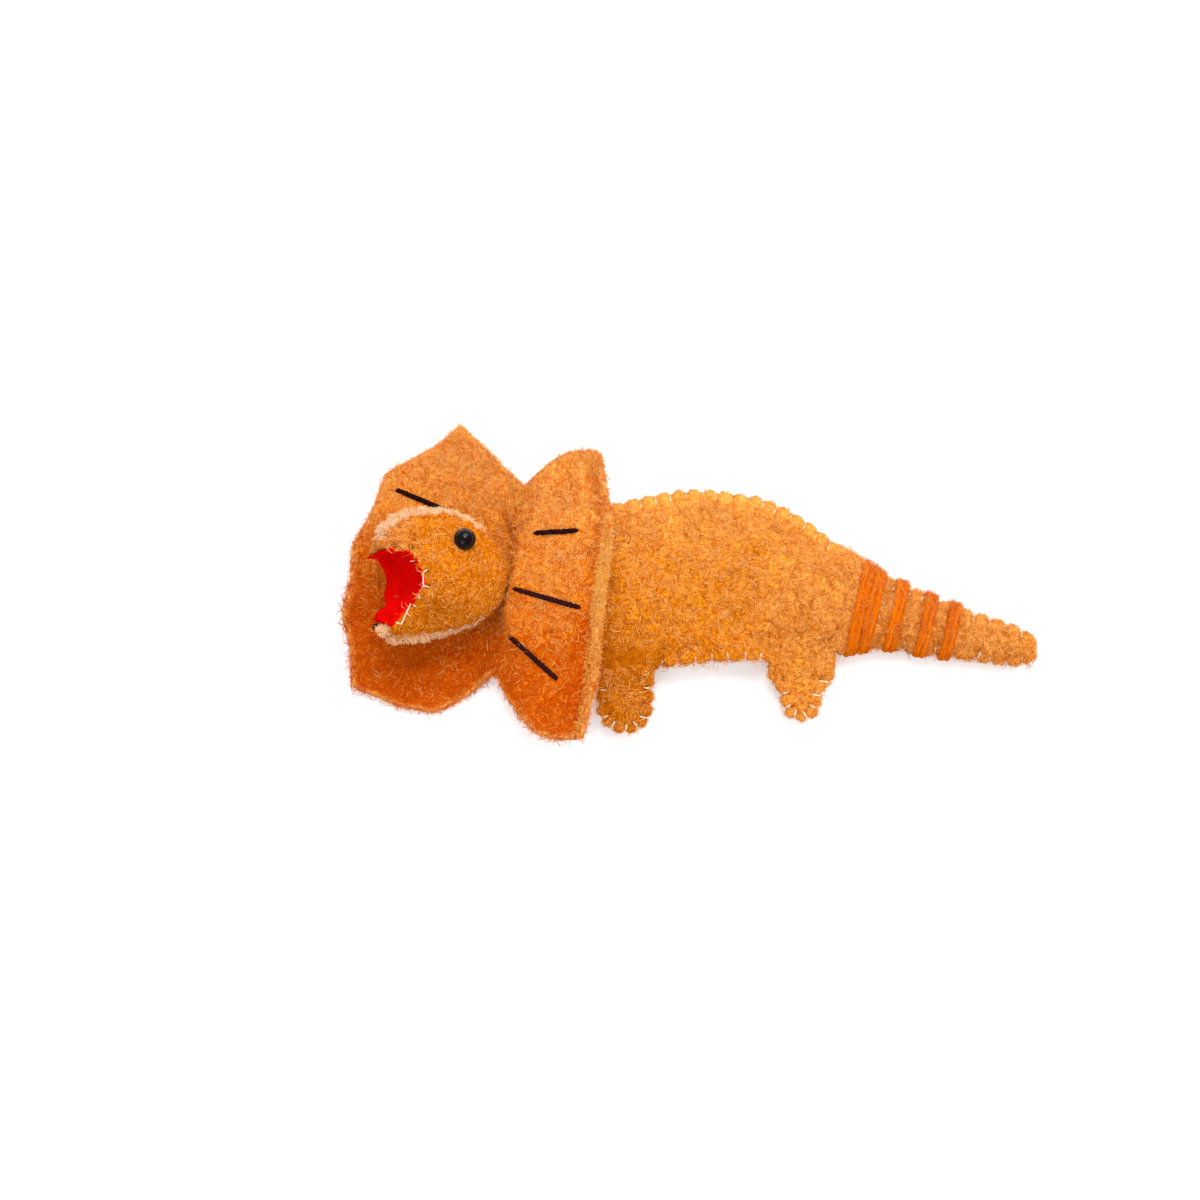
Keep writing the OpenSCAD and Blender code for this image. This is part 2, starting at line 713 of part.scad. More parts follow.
// A lobe of the frill as a grid from the fold outwards. rise gives the height
// of its underside, bows how far its two side edges swell.
function lobe_grid(edge, depth, bows, start, rise) =
    let (n = len(edge) - 1)
    [for (k = [0 : 2 * n])
        let (i = min(floor(k / 2), n - 1), out = mix(edge[i], edge[i + 1], k / 2 - i),
             s = k / (2 * n))
        [for (u = [0, 0.2, 0.4, 0.6, 0.8, 0.87, 0.93, 1])
            let (w = mix(start, out[1] * depth, u),
                 along = mix(mix(-0.5, 0.5, s) * fold_len, out[0] * frill_len / 2, u)
                     + mix(bows[0], bows[1], s) * fold_len * sin(180 * u))
            [w, along, rise(w, u, out[1] * depth)]]];

function near_rise(w, u, end) =
    lobe_z + w * tan(near_slope) + rim_curl * pow(clamp(1 - (end - w) / curl_w), 2);
function far_rise(w, u, end) = 0.02 + corner_lift * pow(u, 4);

// The grid runs along the fold first, so its underside comes out on top of
// the normal: it is flipped to thicken upwards
function flipped(g) = [for (i = [len(g) - 1 : -1 : 0]) g[i]];

module lobe(grid) {
    under = flipped(grid);
    slab(thicken(under, felt_t), under);
}

near_start = 0.2;
far_start = 0.5 + clearance;

module frill_near() {
    color(FRILL) on_fold()
        lobe(lobe_grid(NEAR_EDGE, near_depth, NEAR_BOW, near_start,
                       function (w, u, end) near_rise(w, u, end)));
}

module frill_far() {
    color(FRILL) on_fold() mirror([1, 0, 0])
        lobe(lobe_grid(FAR_EDGE, far_depth, FAR_BOW, far_start,
                       function (w, u, end) far_rise(w, u, end)));
}

module ribs(lines, depth, top) {
    for (line = lines) {
        ends = [for (p = line) [p[1] * depth, p[0] * frill_len / 2, top(p[1] * depth)]];
        bar(ends[0], ends[1], rib_d);
    }
}

module frill_near_ribs() {
    color(DARK) on_fold()
        ribs(NEAR_RIBS, near_depth,
             function (w) near_rise(w, 0, near_depth) + felt_t + rib_d * 0.1);
}

module frill_far_ribs() {
    color(DARK) on_fold() mirror([1, 0, 0])
        ribs(FAR_RIBS, far_depth,
             function (w) far_rise(w, w / far_depth, 0) + felt_t + rib_d * 0.1);
}

torso_near();
torso_far();
back_seam_thread();
chest_seam_thread();
opening_hem_near_thread();
opening_hem_far_thread();
front_leg_near();
front_leg_far();
front_leg_thread();
hind_leg_near();
hind_leg_far();
hind_leg_thread();
tail_base_near();
tail_base_far();
tail_base_wool();
tail_base_thread();
tail_band_1();
tail_band_2();
tail_band_3();
tail_band_4();
tail_tip_near();
tail_tip_far();
tail_tip_wool();
tail_tip_thread();
neck_roll();
frill_waist();
frill_seam_thread();
frill_near();
frill_near_ribs();
frill_far();
frill_far_ribs();
cheek_near();
cheek_far();
head_wool();
mouth_lining();
mouth_near_thread();
mouth_far_thread();
crown_seam_thread();
chin_seam_thread();
eye_near();
eye_far();
eye_thread();
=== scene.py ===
# %% [markdown]
# # A felt finger puppet of a frill-necked lizard
# The puppet lies on its side. Two panels of wool felt are blanket stitched
# along the back and stay open along the belly for a finger. The head and the
# tail are stuffed, yarn is wound round the tail, and a folded felt frill
# stands round the neck.
#
# The solid model gives every place and size. This file dresses it: each soft
# solid is replaced by a felt skin, thread or yarn that fits the same space.

# %% Load the fixed frame
import bpy, bmesh, math
import numpy as np
from mathutils import Matrix, Vector, noise
from mathutils.bvhtree import BVHTree


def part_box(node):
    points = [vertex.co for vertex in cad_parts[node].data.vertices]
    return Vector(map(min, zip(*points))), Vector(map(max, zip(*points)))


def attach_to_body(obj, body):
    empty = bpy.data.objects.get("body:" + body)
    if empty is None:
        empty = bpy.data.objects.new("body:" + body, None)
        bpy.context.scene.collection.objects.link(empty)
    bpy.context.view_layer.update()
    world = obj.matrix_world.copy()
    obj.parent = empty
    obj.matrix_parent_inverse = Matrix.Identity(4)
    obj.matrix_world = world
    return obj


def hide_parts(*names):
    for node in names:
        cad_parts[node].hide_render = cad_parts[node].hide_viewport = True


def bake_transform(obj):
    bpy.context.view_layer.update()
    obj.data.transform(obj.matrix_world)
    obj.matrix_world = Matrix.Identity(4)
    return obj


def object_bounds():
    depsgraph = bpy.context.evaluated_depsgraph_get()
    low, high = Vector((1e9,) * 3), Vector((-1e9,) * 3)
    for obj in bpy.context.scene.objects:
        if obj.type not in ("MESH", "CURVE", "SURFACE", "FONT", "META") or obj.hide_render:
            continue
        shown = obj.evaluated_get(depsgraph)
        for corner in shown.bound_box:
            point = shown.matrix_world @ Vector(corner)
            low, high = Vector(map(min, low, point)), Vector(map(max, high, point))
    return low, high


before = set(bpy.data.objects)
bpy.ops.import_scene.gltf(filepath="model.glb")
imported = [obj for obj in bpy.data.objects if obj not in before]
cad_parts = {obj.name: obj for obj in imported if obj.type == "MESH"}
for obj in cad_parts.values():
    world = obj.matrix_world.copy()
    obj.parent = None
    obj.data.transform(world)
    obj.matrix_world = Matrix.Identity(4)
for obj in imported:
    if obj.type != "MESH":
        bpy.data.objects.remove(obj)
cad_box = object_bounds()
MM = 0.001

# %% [markdown]
# ## Camera and light
# The camera looks straight down on the puppet, as on a thing laid on a table.
# A long lens from half a metre keeps the outlines true. One large soft lamp
# stands beyond the lizard's back. Two weak ones stand beyond its head and its
# tail, and the world fills the rest, so the belly side is deeper in colour.
# A small lamp puts the bright spark in the bead eyes.

# %% Camera
low, high = (np.array(c) for c in cad_box)
middle = (low + high) / 2
aim_left, aim_down, camera_height = 16.18 * MM, 3.35 * MM, 523 * MM
lens = bpy.data.cameras.new("camera")
lens.lens, lens.sensor_width = 85, 36
camera = bpy.data.objects.new("camera", lens)
camera.location = (middle[0] - aim_left, middle[1] - aim_down, camera_height)
bpy.context.scene.collection.objects.link(camera)
bpy.context.scene.camera = camera
bpy.context.scene.view_settings.view_transform = "Standard"
print("camera at", [round(c, 3) for c in camera.location])

# %% Lamps
def soft_lamp(name, place, size, watts):
    lamp = bpy.data.lights.new(name, "AREA")
    lamp.shape, lamp.size, lamp.energy = "DISK", size, watts
    obj = bpy.data.objects.new(name, lamp)
    obj.location = place
    obj.rotation_euler = (Vector(middle) - Vector(place)).to_track_quat("-Z", "Y").to_euler()
    bpy.context.scene.collection.objects.link(obj)

LAMPS = {  # place and diameter in metres, power in watts
    "key_lamp": ((0.10, 0.55, 0.62), 0.70, 5.4),
    "fill_lamp": ((-0.35, -0.50, 0.65), 0.60, 1.4),
    "side_lamp": ((0.60, 0.10, 0.40), 0.50, 1.8),
    "spark_lamp": ((-0.04, 0.30, 0.75), 0.12, 1.0),
}
for name, (place, size, watts) in LAMPS.items():
    soft_lamp(name, place, size, watts)
print("lamps:", list(LAMPS))

# %% [markdown]
# ## Small helpers for nodes
# Every finish is made of shader nodes. "wire" adds a node, sets it and links
# it in one line, and "new_material" gives each material its Principled
# shader. The others are short names for the nodes that are used most.

# %% Node helpers
def wire(tree, kind, settings=None, inputs=None):
    node = tree.nodes.new(kind)
    for key, value in (settings or {}).items():
        setattr(node, key, value)
    for key, value in (inputs or {}).items():
        if isinstance(value, bpy.types.NodeSocket):
            tree.links.new(value, node.inputs[key])
        else:
            node.inputs[key].default_value = value
    return node

def new_material(name):
    material = bpy.data.materials.new(name)
    material.use_nodes = True
    tree = material.node_tree
    return material, tree, tree.nodes["Principled BSDF"]

def math_node(tree, operation, a, b=0.0, clamp=False):
    return wire(tree, "ShaderNodeMath", {"operation": operation, "use_clamp": clamp},
                {0: a, 1: b}).outputs[0]

def mix_colour(tree, share, a, b, blend="MIX"):
    return wire(tree, "ShaderNodeMix", {"data_type": "RGBA", "blend_type": blend},
                {0: share, 6: a, 7: b}).outputs[2]

def remap(tree, value, low, high, to_low=0.0, to_high=1.0):
    return wire(tree, "ShaderNodeMapRange", {"interpolation_type": "SMOOTHSTEP"},
                {0: value, 1: low, 2: high, 3: to_low, 4: to_high}).outputs[0]

def in_mm(tree):
    """The point on the piece, in millimetres, so that the grain keeps its real size."""
    here = wire(tree, "ShaderNodeTexCoord").outputs["Object"]
    return wire(tree, "ShaderNodeVectorMath", {"operation": "SCALE"},
                {0: here, "Scale": 1000.0}).outputs[0]

print("node helpers ready")

# %% [markdown]
# ## World and floor
# The table is white. Its brightness is in the floor's own colour, plus a
# little light that only the camera and reflections see, so that white stays
# white and the puppet's soft shadow still falls on it. The world is darker in
# reflections, so the felt keeps its colour and the beads stay black.

# %% World
world_light, world_seen, mirror_loss = 0.68, 1.0, 0.45
world = bpy.data.worlds.new("studio")
world.use_nodes = True
bpy.context.scene.world = world
tree = world.node_tree
tree.nodes["Background"].inputs["Color"].default_value = (1, 1, 1, 1)
path = wire(tree, "ShaderNodeLightPath").outputs
lit = remap(tree, path["Is Camera Ray"], 0.0, 1.0, world_light, world_seen)
mirrored = math_node(tree, "MULTIPLY", path["Is Glossy Ray"], mirror_loss)
tree.links.new(math_node(tree, "SUBTRACT", lit, mirrored),
               tree.nodes["Background"].inputs["Strength"])
print("world light", world_light, "and seen at", world_seen)

# %% Floor
def seen_rays(tree):
    """1 for rays from the camera, a reflection or a clear thing, else 0."""
    path = wire(tree, "ShaderNodeLightPath").outputs
    seen = math_node(tree, "MAXIMUM", path["Is Camera Ray"], path["Is Glossy Ray"])
    return math_node(tree, "MAXIMUM", seen, path["Is Transmission Ray"])

floor_glow, below_felt = 0.29, 0.00005
table_white, tree, shader = new_material("table_white")
shader.inputs["Base Color"].default_value = (0.86, 0.865, 0.87, 1)
shader.inputs["Roughness"].default_value = 0.9
shader.inputs["Specular IOR Level"].default_value = 0.0
shader.inputs["Emission Color"].default_value = (1, 1, 1, 1)
tree.links.new(remap(tree, seen_rays(tree), 0.0, 1.0, 0.0, floor_glow),
               shader.inputs["Emission Strength"])
bpy.ops.mesh.primitive_grid_add(x_subdivisions=2, y_subdivisions=2, size=4,
                                location=(middle[0], middle[1], -below_felt))
floor = bpy.context.object
floor.name = "table"
floor.data.materials.append(table_white)
print("white table")

# %% [markdown]
# ## The look of wool felt
# Wool felt is a mat of fibres pressed together. Close up it shows a deep
# orange ground, paler fibres that lie on it in all directions, each a
# millimetre or two long, and soft clouds where the mat is thin or thick.
#
# An image could carry this, but nodes keep it sharp at any size. A noise that
# is stretched one way gives strands, and a second noise bends them. Layers of
# strands, each turned another way and with a tone of its own, lie over one
# another as fibres do. The group is built once and every felt uses it.

# %% Layers of strands
# each layer's turn and tilt in radians, and its tone from 0, dark, to 1, pale
STRAND_LAYERS = ((0.2, 0.3, 0.5), (2.5, -0.5, 0.9), (1.0, 0.6, 0.15), (1.8, -0.2, 1.0),
                 (2.9, 0.4, 0.0), (0.6, -0.7, 0.8), (1.4, 0.5, 0.2), (2.2, 0.1, 1.0))

def bent(group, place):
    """Shifts each place by a slow noise, so that straight strands turn into curls."""
    bend = wire(group, "ShaderNodeTexNoise", None,
                {"Vector": place, "Scale": 0.7, "Detail": 1.0}).outputs["Color"]
    bend = wire(group, "ShaderNodeVectorMath", {"operation": "SCALE"},
                {0: bend, "Scale": 2.6}).outputs[0]
    return wire(group, "ShaderNodeVectorMath", {"operation": "ADD"}, {0: place, 1: bend}).outputs[0]

def strand_mask(group, place, turn, tilt):
    """1 on the strands of one layer: a noise that is stretched along x."""
    turned = wire(group, "ShaderNodeVectorRotate", {"rotation_type": "EULER_XYZ"},
                  {"Vector": place, "Rotation": (tilt, 0.0, turn)}).outputs[0]
    long = wire(group, "ShaderNodeVectorMath", {"operation": "MULTIPLY_ADD"},
                {0: turned, 1: (0.7, 3.8, 3.8), 2: (0, 0, 37 * turn)}).outputs[0]
    strand = wire(group, "ShaderNodeTexNoise", None,
                  {"Vector": long, "Scale": 1.0, "Detail": 1.0, "Roughness": 0.4}).outputs[0]
    return remap(group, strand, 0.55, 0.60)

print("layers of strands:", len(STRAND_LAYERS))

# %% Node group: the felt's mat
def felt_mat_group():
    group = bpy.data.node_groups.new("felt_mat", "ShaderNodeTree")
    sockets = group.interface
    sockets.new_socket("Place", in_out="INPUT", socket_type="NodeSocketVector")
    size = sockets.new_socket("Strand Size", in_out="INPUT", socket_type="NodeSocketFloat")
    size.default_value = 1.0
    for name in ("Fibres", "Clouds", "Height"):
        sockets.new_socket(name, in_out="OUTPUT", socket_type="NodeSocketFloat")
    start = group.nodes.new("NodeGroupInput").outputs
    place = wire(group, "ShaderNodeVectorMath", {"operation": "DIVIDE"},
                 {0: start["Place"], 1: start["Strand Size"]}).outputs[0]
    place = bent(group, place)
    fibres = None
    for turn, tilt, tone in STRAND_LAYERS:
        mask = strand_mask(group, place, turn, tilt)
        if fibres is None:
            fibres = math_node(group, "MULTIPLY", mask, tone)
        else:
            fibres = wire(group, "ShaderNodeMix", None, {0: mask, 2: fibres, 3: tone}).outputs[0]
    clouds = wire(group, "ShaderNodeTexNoise", None,
                  {"Vector": start["Place"], "Scale": 0.16, "Detail": 4.0,
                   "Roughness": 0.62}).outputs[0]
    grain = wire(group, "ShaderNodeTexNoise", None,
                 {"Vector": place, "Scale": 3.2, "Detail": 3.0, "Roughness": 0.65}).outputs[0]
    end = group.nodes.new("NodeGroupOutput").inputs
    group.links.new(fibres, end["Fibres"])
    group.links.new(clouds, end["Clouds"])
    group.links.new(math_node(group, "ADD", fibres, math_node(group, "MULTIPLY", grain, 0.5)),
                    end["Height"])
    return group

felt_mat = felt_mat_group()
print("node group", felt_mat.name, "with", len(felt_mat.nodes), "nodes")

# %% [markdown]
# A felt material mixes a ground colour and a fibre colour with the mat's
# mask. Three values painted on the mesh steer it. "edge" is 1 on a cut edge,
# where loose fibres make the felt look pale, and it also holds painted light:
# tops where the lamp falls are painted paler. "deep" is painted shade, and on
# the head also a deeper tone of its own: there the deep orange shows and pale
# fibres are few. "hole" is 1 where a needle went in, and paints shade there.

# %% Felt material
# painted shade: the dark colour of a needle hole
needle_hole_shade = (0.13, 0.018, 0.0004)

def painted(tree, name):
    return wire(tree, "ShaderNodeAttribute", {"attribute_name": name}).outputs["Fac"]

def felt(name, deep, ground, pale, edge, fibre_share=0.8, bump=0.5, strand=1.0):
    """Colours of the deep mat and painted shade, the mat, its fibres, the loose edge and painted
    light.
    """
    material, tree, shader = new_material(name)
    mat = wire(tree, "ShaderNodeGroup", {"node_tree": felt_mat},
               {"Place": in_mm(tree), "Strand Size": strand}).outputs
    # painted shade: where the deep paint is, the mat takes its deep colour
    painted_shade = painted(tree, "deep")
    thin = remap(tree, mat["Clouds"], 0.36, 0.62, 0.6, 0.0)
    pits = remap(tree, mat["Fibres"], 0.05, 0.35, 0.55, 0.0)
    depth = math_node(tree, "MAXIMUM", math_node(tree, "MAXIMUM", thin, pits), painted_shade)
    colour = mix_colour(tree, depth, (*ground, 1), (*deep, 1))
    # fewer pale fibres show under the painted shade
    unshaded = math_node(tree, "SUBTRACT", 1.0, math_node(tree, "MULTIPLY", painted_shade, 0.6))
    share = math_node(tree, "MULTIPLY", mat["Fibres"], fibre_share)
    colour = mix_colour(tree, math_node(tree, "MULTIPLY", share, unshaded), colour, (*pale, 1))
    # the edge paint: pale cut edges, and painted light on the tops where the lamp falls
    loose = remap(tree, mat["Fibres"], 0.0, 0.9, 0.5, 1.0)
    pale_paint = math_node(tree, "MULTIPLY", painted(tree, "edge"), loose)
    colour = mix_colour(tree, pale_paint, colour, (*edge, 1))
    # painted shade in each needle hole
    colour = mix_colour(tree, painted(tree, "hole"), colour, (*needle_hole_shade, 1))
    tree.links.new(colour, shader.inputs["Base Color"])
    tree.links.new(remap(tree, mat["Clouds"], 0.3, 0.7, 0.95, 0.82), shader.inputs["Roughness"])
    relief = wire(tree, "ShaderNodeBump", None,
                  {"Strength": bump, "Distance": 0.00022, "Height": mat["Height"]})
    tree.links.new(relief.outputs[0], shader.inputs["Normal"])
    shader.inputs["Specular IOR Level"].default_value = 0.0
    return material

print("needle holes are painted", needle_hole_shade)

# %% The four felts
body_felt = felt("orange_felt", (0.37, 0.064, 0.0001), (0.61, 0.138, 0.0002),
                 (1.0, 0.41, 0.015), (1.0, 0.50, 0.13))
head_felt = felt("head_felt_wool", (0.34, 0.060, 0.0001), (0.55, 0.125, 0.0002),
                 (0.92, 0.34, 0.012), (0.99, 0.64, 0.38))
frill_felt = felt("frill_felt", (0.50, 0.036, 0.0001), (0.76, 0.185, 0.0005),
                  (0.98, 0.42, 0.03), (1.0, 0.56, 0.15))
red_felt = felt("red_felt", (0.50, 0.0004, 0.0008), (0.66, 0.001, 0.001),
                (0.76, 0.004, 0.002), (0.72, 0.002, 0.001),
                fibre_share=0.5, bump=0.3, strand=0.8)
print("felts:", [m.name for m in (body_felt, head_felt, frill_felt, red_felt)])

# %% [markdown]
# ## Fibre, thread, yarn and bead
# Single fibres are thin hairs with a shade of their own each, which
# "random per island" gives without any painting. Thread and yarn are spun:
# their plies are real tubes, so the material only needs a fine streak.

# %% Spun material
def spun(name, dark, light, roughness=0.8, streak=5.0, power=1.0):
    material, tree, shader = new_material(name)
    island = wire(tree, "ShaderNodeNewGeometry").outputs["Random Per Island"]
    streaks = wire(tree, "ShaderNodeTexNoise", None,
                   {"Vector": in_mm(tree), "Scale": streak, "Detail": 2.0}).outputs[0]
    share = math_node(tree, "ADD", math_node(tree, "MULTIPLY", island, 0.7),
                      math_node(tree, "MULTIPLY", streaks, 0.35), clamp=True)
    share = math_node(tree, "POWER", share, power)
    tree.links.new(mix_colour(tree, share, (*dark, 1), (*light, 1)), shader.inputs["Base Color"])
    tree.links.new(remap(tree, streaks, 0.2, 0.8, roughness, roughness * 0.85),
                   shader.inputs["Roughness"])
    relief = wire(tree, "ShaderNodeBump", None,
                  {"Strength": 0.35, "Distance": 0.00008, "Height": streaks})
    tree.links.new(relief.outputs[0], shader.inputs["Normal"])
    shader.inputs["Specular IOR Level"].default_value = 0.0
    return material

print("spun finish ready")

# %% Fibres, threads and yarn
pale_fibre = spun("pale_fibre", (0.83, 0.24, 0.001), (1.0, 0.62, 0.24), power=1.65)
deep_fibre = spun("deep_fibre", (0.40, 0.062, 0.0001), (0.80, 0.20, 0.0006))
rust_fibre = spun("rust_fibre", (0.56, 0.045, 0.0002), (0.86, 0.17, 0.0008))
rim_fibre = spun("rim_fibre", (0.98, 0.56, 0.28), (0.99, 0.78, 0.52))
cream_thread = spun("cream_thread", (0.90, 0.66, 0.42), (0.98, 0.88, 0.74), roughness=0.6)
rib_thread = spun("rib_thread", (0.008, 0.003, 0.003), (0.035, 0.008, 0.009), roughness=0.6)
yarn_wool = spun("yarn_wool", (0.48, 0.075, 0.0005), (0.80, 0.19, 0.002), streak=4.0)
near_rim_fibre = spun("near_rim_fibre", (0.99, 0.46, 0.05), (0.99, 0.64, 0.18))
red_fibre = spun("red_fibre", (0.58, 0.001, 0.001), (0.84, 0.012, 0.006))
yarn_fibre = spun("yarn_fibre", (0.56, 0.08, 0.0005), (0.97, 0.42, 0.12), power=1.6)
print("spun materials:", [m.name for m in (pale_fibre, cream_thread, rib_thread, yarn_wool)])

# %% [markdown]
# The eyes are black glass beads: almost black and smooth, so the lamps show
# in them as small bright spots. Handling leaves faint smears, so the
# roughness varies a little.

# %% Bead
bead, tree, shader = new_material("black_bead")
smear = wire(tree, "ShaderNodeTexNoise", None,
             {"Vector": in_mm(tree), "Scale": 1.3, "Detail": 3.0}).outputs[0]
tree.links.new(remap(tree, smear, 0.35, 0.7, 0.04, 0.1), shader.inputs["Roughness"])
tree.links.new(mix_colour(tree, smear, (0.004, 0.003, 0.003, 1), (0.009, 0.006, 0.006, 1)),
               shader.inputs["Base Color"])
shader.inputs["Specular IOR Level"].default_value = 0.55
shader.inputs["IOR"].default_value = 1.3
print("bead material", bead.name)

# %% [markdown]
# Four small pieces keep the shape that the solid model gives them: the two
# beads, the thread between them and the seam under the frill. They only get
# a better material.

# %% Dress the beads and two threads
KEPT = {"eye_near": bead, "eye_far": bead,
        "eye_thread": rib_thread, "frill_seam_thread": cream_thread}
for node, material in KEPT.items():
    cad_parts[node].data.materials.clear()
    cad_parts[node].data.materials.append(material)
print("kept from the solid model:", list(KEPT))

# %% [markdown]
# ## Shapes in millimetres
# A felt toy is small, so the shapes below are worked out in millimetres and
# turned into metres when the mesh is made.

# %% Mesh helpers
def box_mm(node):
    low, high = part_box(node)
    return np.array(low) / MM, np.array(high) / MM

def make_mesh(name, points, faces, material):
    mesh = bpy.data.meshes.new(name)
    mesh.from_pydata(np.asarray(points, float) * MM, [], faces)
    mesh.update()
    mesh.shade_smooth()
    mesh.materials.append(material)
    obj = bpy.data.objects.new(name, mesh)
    bpy.context.scene.collection.objects.link(obj)
    return obj

def points_of(obj):
    co = np.empty(len(obj.data.vertices) * 3, np.float32)
    obj.data.vertices.foreach_get("co", co)
    return co.reshape(-1, 3).astype(float) / MM

def move_points(obj, points):
    obj.data.vertices.foreach_set("co", (points * MM).astype(np.float32).ravel())
    obj.data.update()

def normals_of(obj):
    n = np.empty(len(obj.data.vertices) * 3, np.float32)
    obj.data.vertex_normals.foreach_get("vector", n)
    return n.reshape(-1, 3).astype(float)

def paint(obj, name, values):
    layer = obj.data.attributes.new(name, "FLOAT", "POINT")
    layer.data.foreach_set("value", np.asarray(values, np.float32))

print("the near eye is", round(float(np.ptp(box_mm("eye_near"), axis=0)[0]), 1), "mm across")

# %% Grids of points
def grid_faces(rows, cols, flip=False, start=0):
    r, c = np.meshgrid(np.arange(rows - 1), np.arange(cols - 1), indexing="ij")
    a = (r * cols + c).ravel() + start
    quad = np.stack([a, a + cols, a + cols + 1, a + 1], 1)
    return quad[:, ::-1] if flip else quad

def closed_sheet(top, low):
    """Two grids of points, joined round their rims: points and faces of a closed sheet."""
    rows, cols = top.shape[:2]
    n = rows * cols
    ids = np.arange(n).reshape(rows, cols)
    ring = np.concatenate([ids[:, 0], ids[-1, 1:], ids[-2::-1, -1], ids[0, -2:0:-1]])
    after = np.roll(ring, -1)
    faces = [grid_faces(rows, cols), grid_faces(rows, cols, flip=True, start=n),
             np.stack([ring, ring + n, after + n, after], 1)]
    return np.concatenate([top.reshape(-1, 3), low.reshape(-1, 3)]), np.concatenate(faces)

print("a grid of 3 by 4 points has", len(grid_faces(3, 4)), "faces")

# %% Small sums
def unit(vectors):
    return vectors / np.maximum(np.linalg.norm(vectors, axis=-1, keepdims=True), 1e-9)

def evened(values, rounds=1):
    """Draws each value towards its neighbours. The first and the last stay."""
    out = np.array(values, float)
    for _ in range(rounds):
        out[1:-1] = (out[:-2] + 2 * out[1:-1] + out[2:]) / 4
    return out

def smooth_step(x, low, high):
    """Runs softly from 0 at low to 1 at high."""
    t = np.clip((np.asarray(x, float) - low) / (high - low), 0, 1)
    return t * t * (3 - 2 * t)

def lumps(points, size, seed):
    """Uneven wool: a noise from about -1 to 1, whose lumps are about size millimetres."""
    return np.array([noise.noise(Vector(p) / size + Vector((seed, -seed, seed * 0.5)))
                     for p in points.tolist()])

print("helpers ready, all in millimetres")

# %% [markdown]
# ## One skin for body, legs and tail
# Each side of the real body is one piece of felt, cut with its legs and its
# tail. The solids are separate plies, so their outlines have gaps where the
# felt bends. Filling these gaps and remeshing everything at a third of a
# millimetre gives one closed skin with soft edges. The pocket for the finger
# stays open, because the remesh keeps any hollow that is open to the air.
#
# The alternative, a loft along the body, would need a seam at each leg.

# %% Tail shape
felt_t, mid_z = 1.6, 3.9  # the felt's thickness and the height of the body's middle
tail_x0, tail_x1 = box_mm("torso_near")[1][0], box_mm("tail_tip_near")[1][0]
root_y, axis_drop = -3.49, 9.0
tip_height, height_gain = 6.4, 13.3
root_gap, gap_loss, tail_lift = 1.7, 1.3, 0.59
# from the root to the tip, as shares of the drop and of the gain
TAIL_AXIS = (0, 0.21, 0.449, 0.667, 0.857, 1)
TAIL_HEIGHT = (1, 0.556, 0.383, 0.218, 0.135, 0)

def curve(values, s):
    """A smooth curve through evenly spaced values, read at s from 0 to 1."""
    v = np.asarray(values, float)
    n = len(v) - 1
    x = np.clip(np.asarray(s, float), 0, 1) * n
    i = np.minimum(x.astype(int), n - 1)
    t = x - i
    a, b, c, d = v[np.maximum(i - 1, 0)], v[i], v[i + 1], v[np.minimum(i + 2, n)]
    return 0.5 * (2 * b + (c - a) * t + (2 * a - 5 * b + 4 * c - d) * t * t
                  + (3 * b - a - 3 * c + d) * t ** 3)

def tail_share(x): return (np.asarray(x, float) - tail_x0) / (tail_x1 - tail_x0)
def tail_y(x): return root_y - axis_drop * curve(TAIL_AXIS, tail_share(x))
def tail_half_h(x): return (tip_height + height_gain * curve(TAIL_HEIGHT, tail_share(x))) / 2
def tail_half_gap(x): return root_gap - gap_loss * np.clip(tail_share(x), 0, 1)
def tail_z(x): return tail_half_gap(x) + felt_t + tail_lift
print("tail from x", round(tail_x0, 1), "to", round(tail_x1, 1), "mm")

# %% The tail as one closed form
def tail_core():
    """Both plies and the stuffing between them, rounded off towards the tip."""
    xs = np.linspace(tail_x0 - 0.9, tail_x1 - 0.05, 70)
    us = np.linspace(-1, 1, 25)
    X, U = np.meshgrid(xs, us, indexing="ij")
    tip = 1 - smooth_step(X, tail_x1 - 3.2, tail_x1 + 1.2) * np.abs(U) ** 2 * 0.55
    full = tail_half_gap(X) * (1 - np.abs(U) ** 2.4) + felt_t * (1 - 0.25 * np.abs(U) ** 8)
    y = tail_y(X) + tail_half_h(X) * U * tip
    return closed_sheet(np.stack([X, y, tail_z(X) + full], -1),
                        np.stack([X, y, tail_z(X) - full], -1))

print("tail core:", len(tail_core()[0]), "points")

# %% Remesh separate plies into a skin
def skin(name, nodes, extra, voxel, material, rounds=4):
    """One closed felt skin round all the nodes and the extra forms."""
    joined = bmesh.new()
    for node in nodes:
        joined.from_mesh(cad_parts[node].data)
    bmesh.ops.remove_doubles(joined, verts=joined.verts, dist=1e-6)
    bmesh.ops.recalc_face_normals(joined, faces=joined.faces)
    for points, faces in extra:
        made = [joined.verts.new(Vector(p) * MM) for p in points]
        new = [joined.faces.new([made[i] for i in f]) for f in faces]
        bmesh.ops.recalc_face_normals(joined, faces=new)
    mesh = bpy.data.meshes.new(name)
    joined.to_mesh(mesh)
    joined.free()
    obj = bpy.data.objects.new(name, mesh)
    bpy.context.scene.collection.objects.link(obj)
    change = obj.modifiers.new("remesh", "REMESH")
    change.mode, change.voxel_size = "VOXEL", voxel * MM
    soften = obj.modifiers.new("soften", "SMOOTH")
    soften.factor, soften.iterations = 0.5, rounds
    bpy.context.view_layer.update()
    graph = bpy.context.evaluated_depsgraph_get()
    final = bpy.data.meshes.new_from_object(obj.evaluated_get(graph))
    obj.modifiers.clear()
    obj.data = final
    final.materials.clear()
    final.materials.append(material)
    final.shade_smooth()
    print(name, "skin:", len(final.vertices), "points")
    return obj

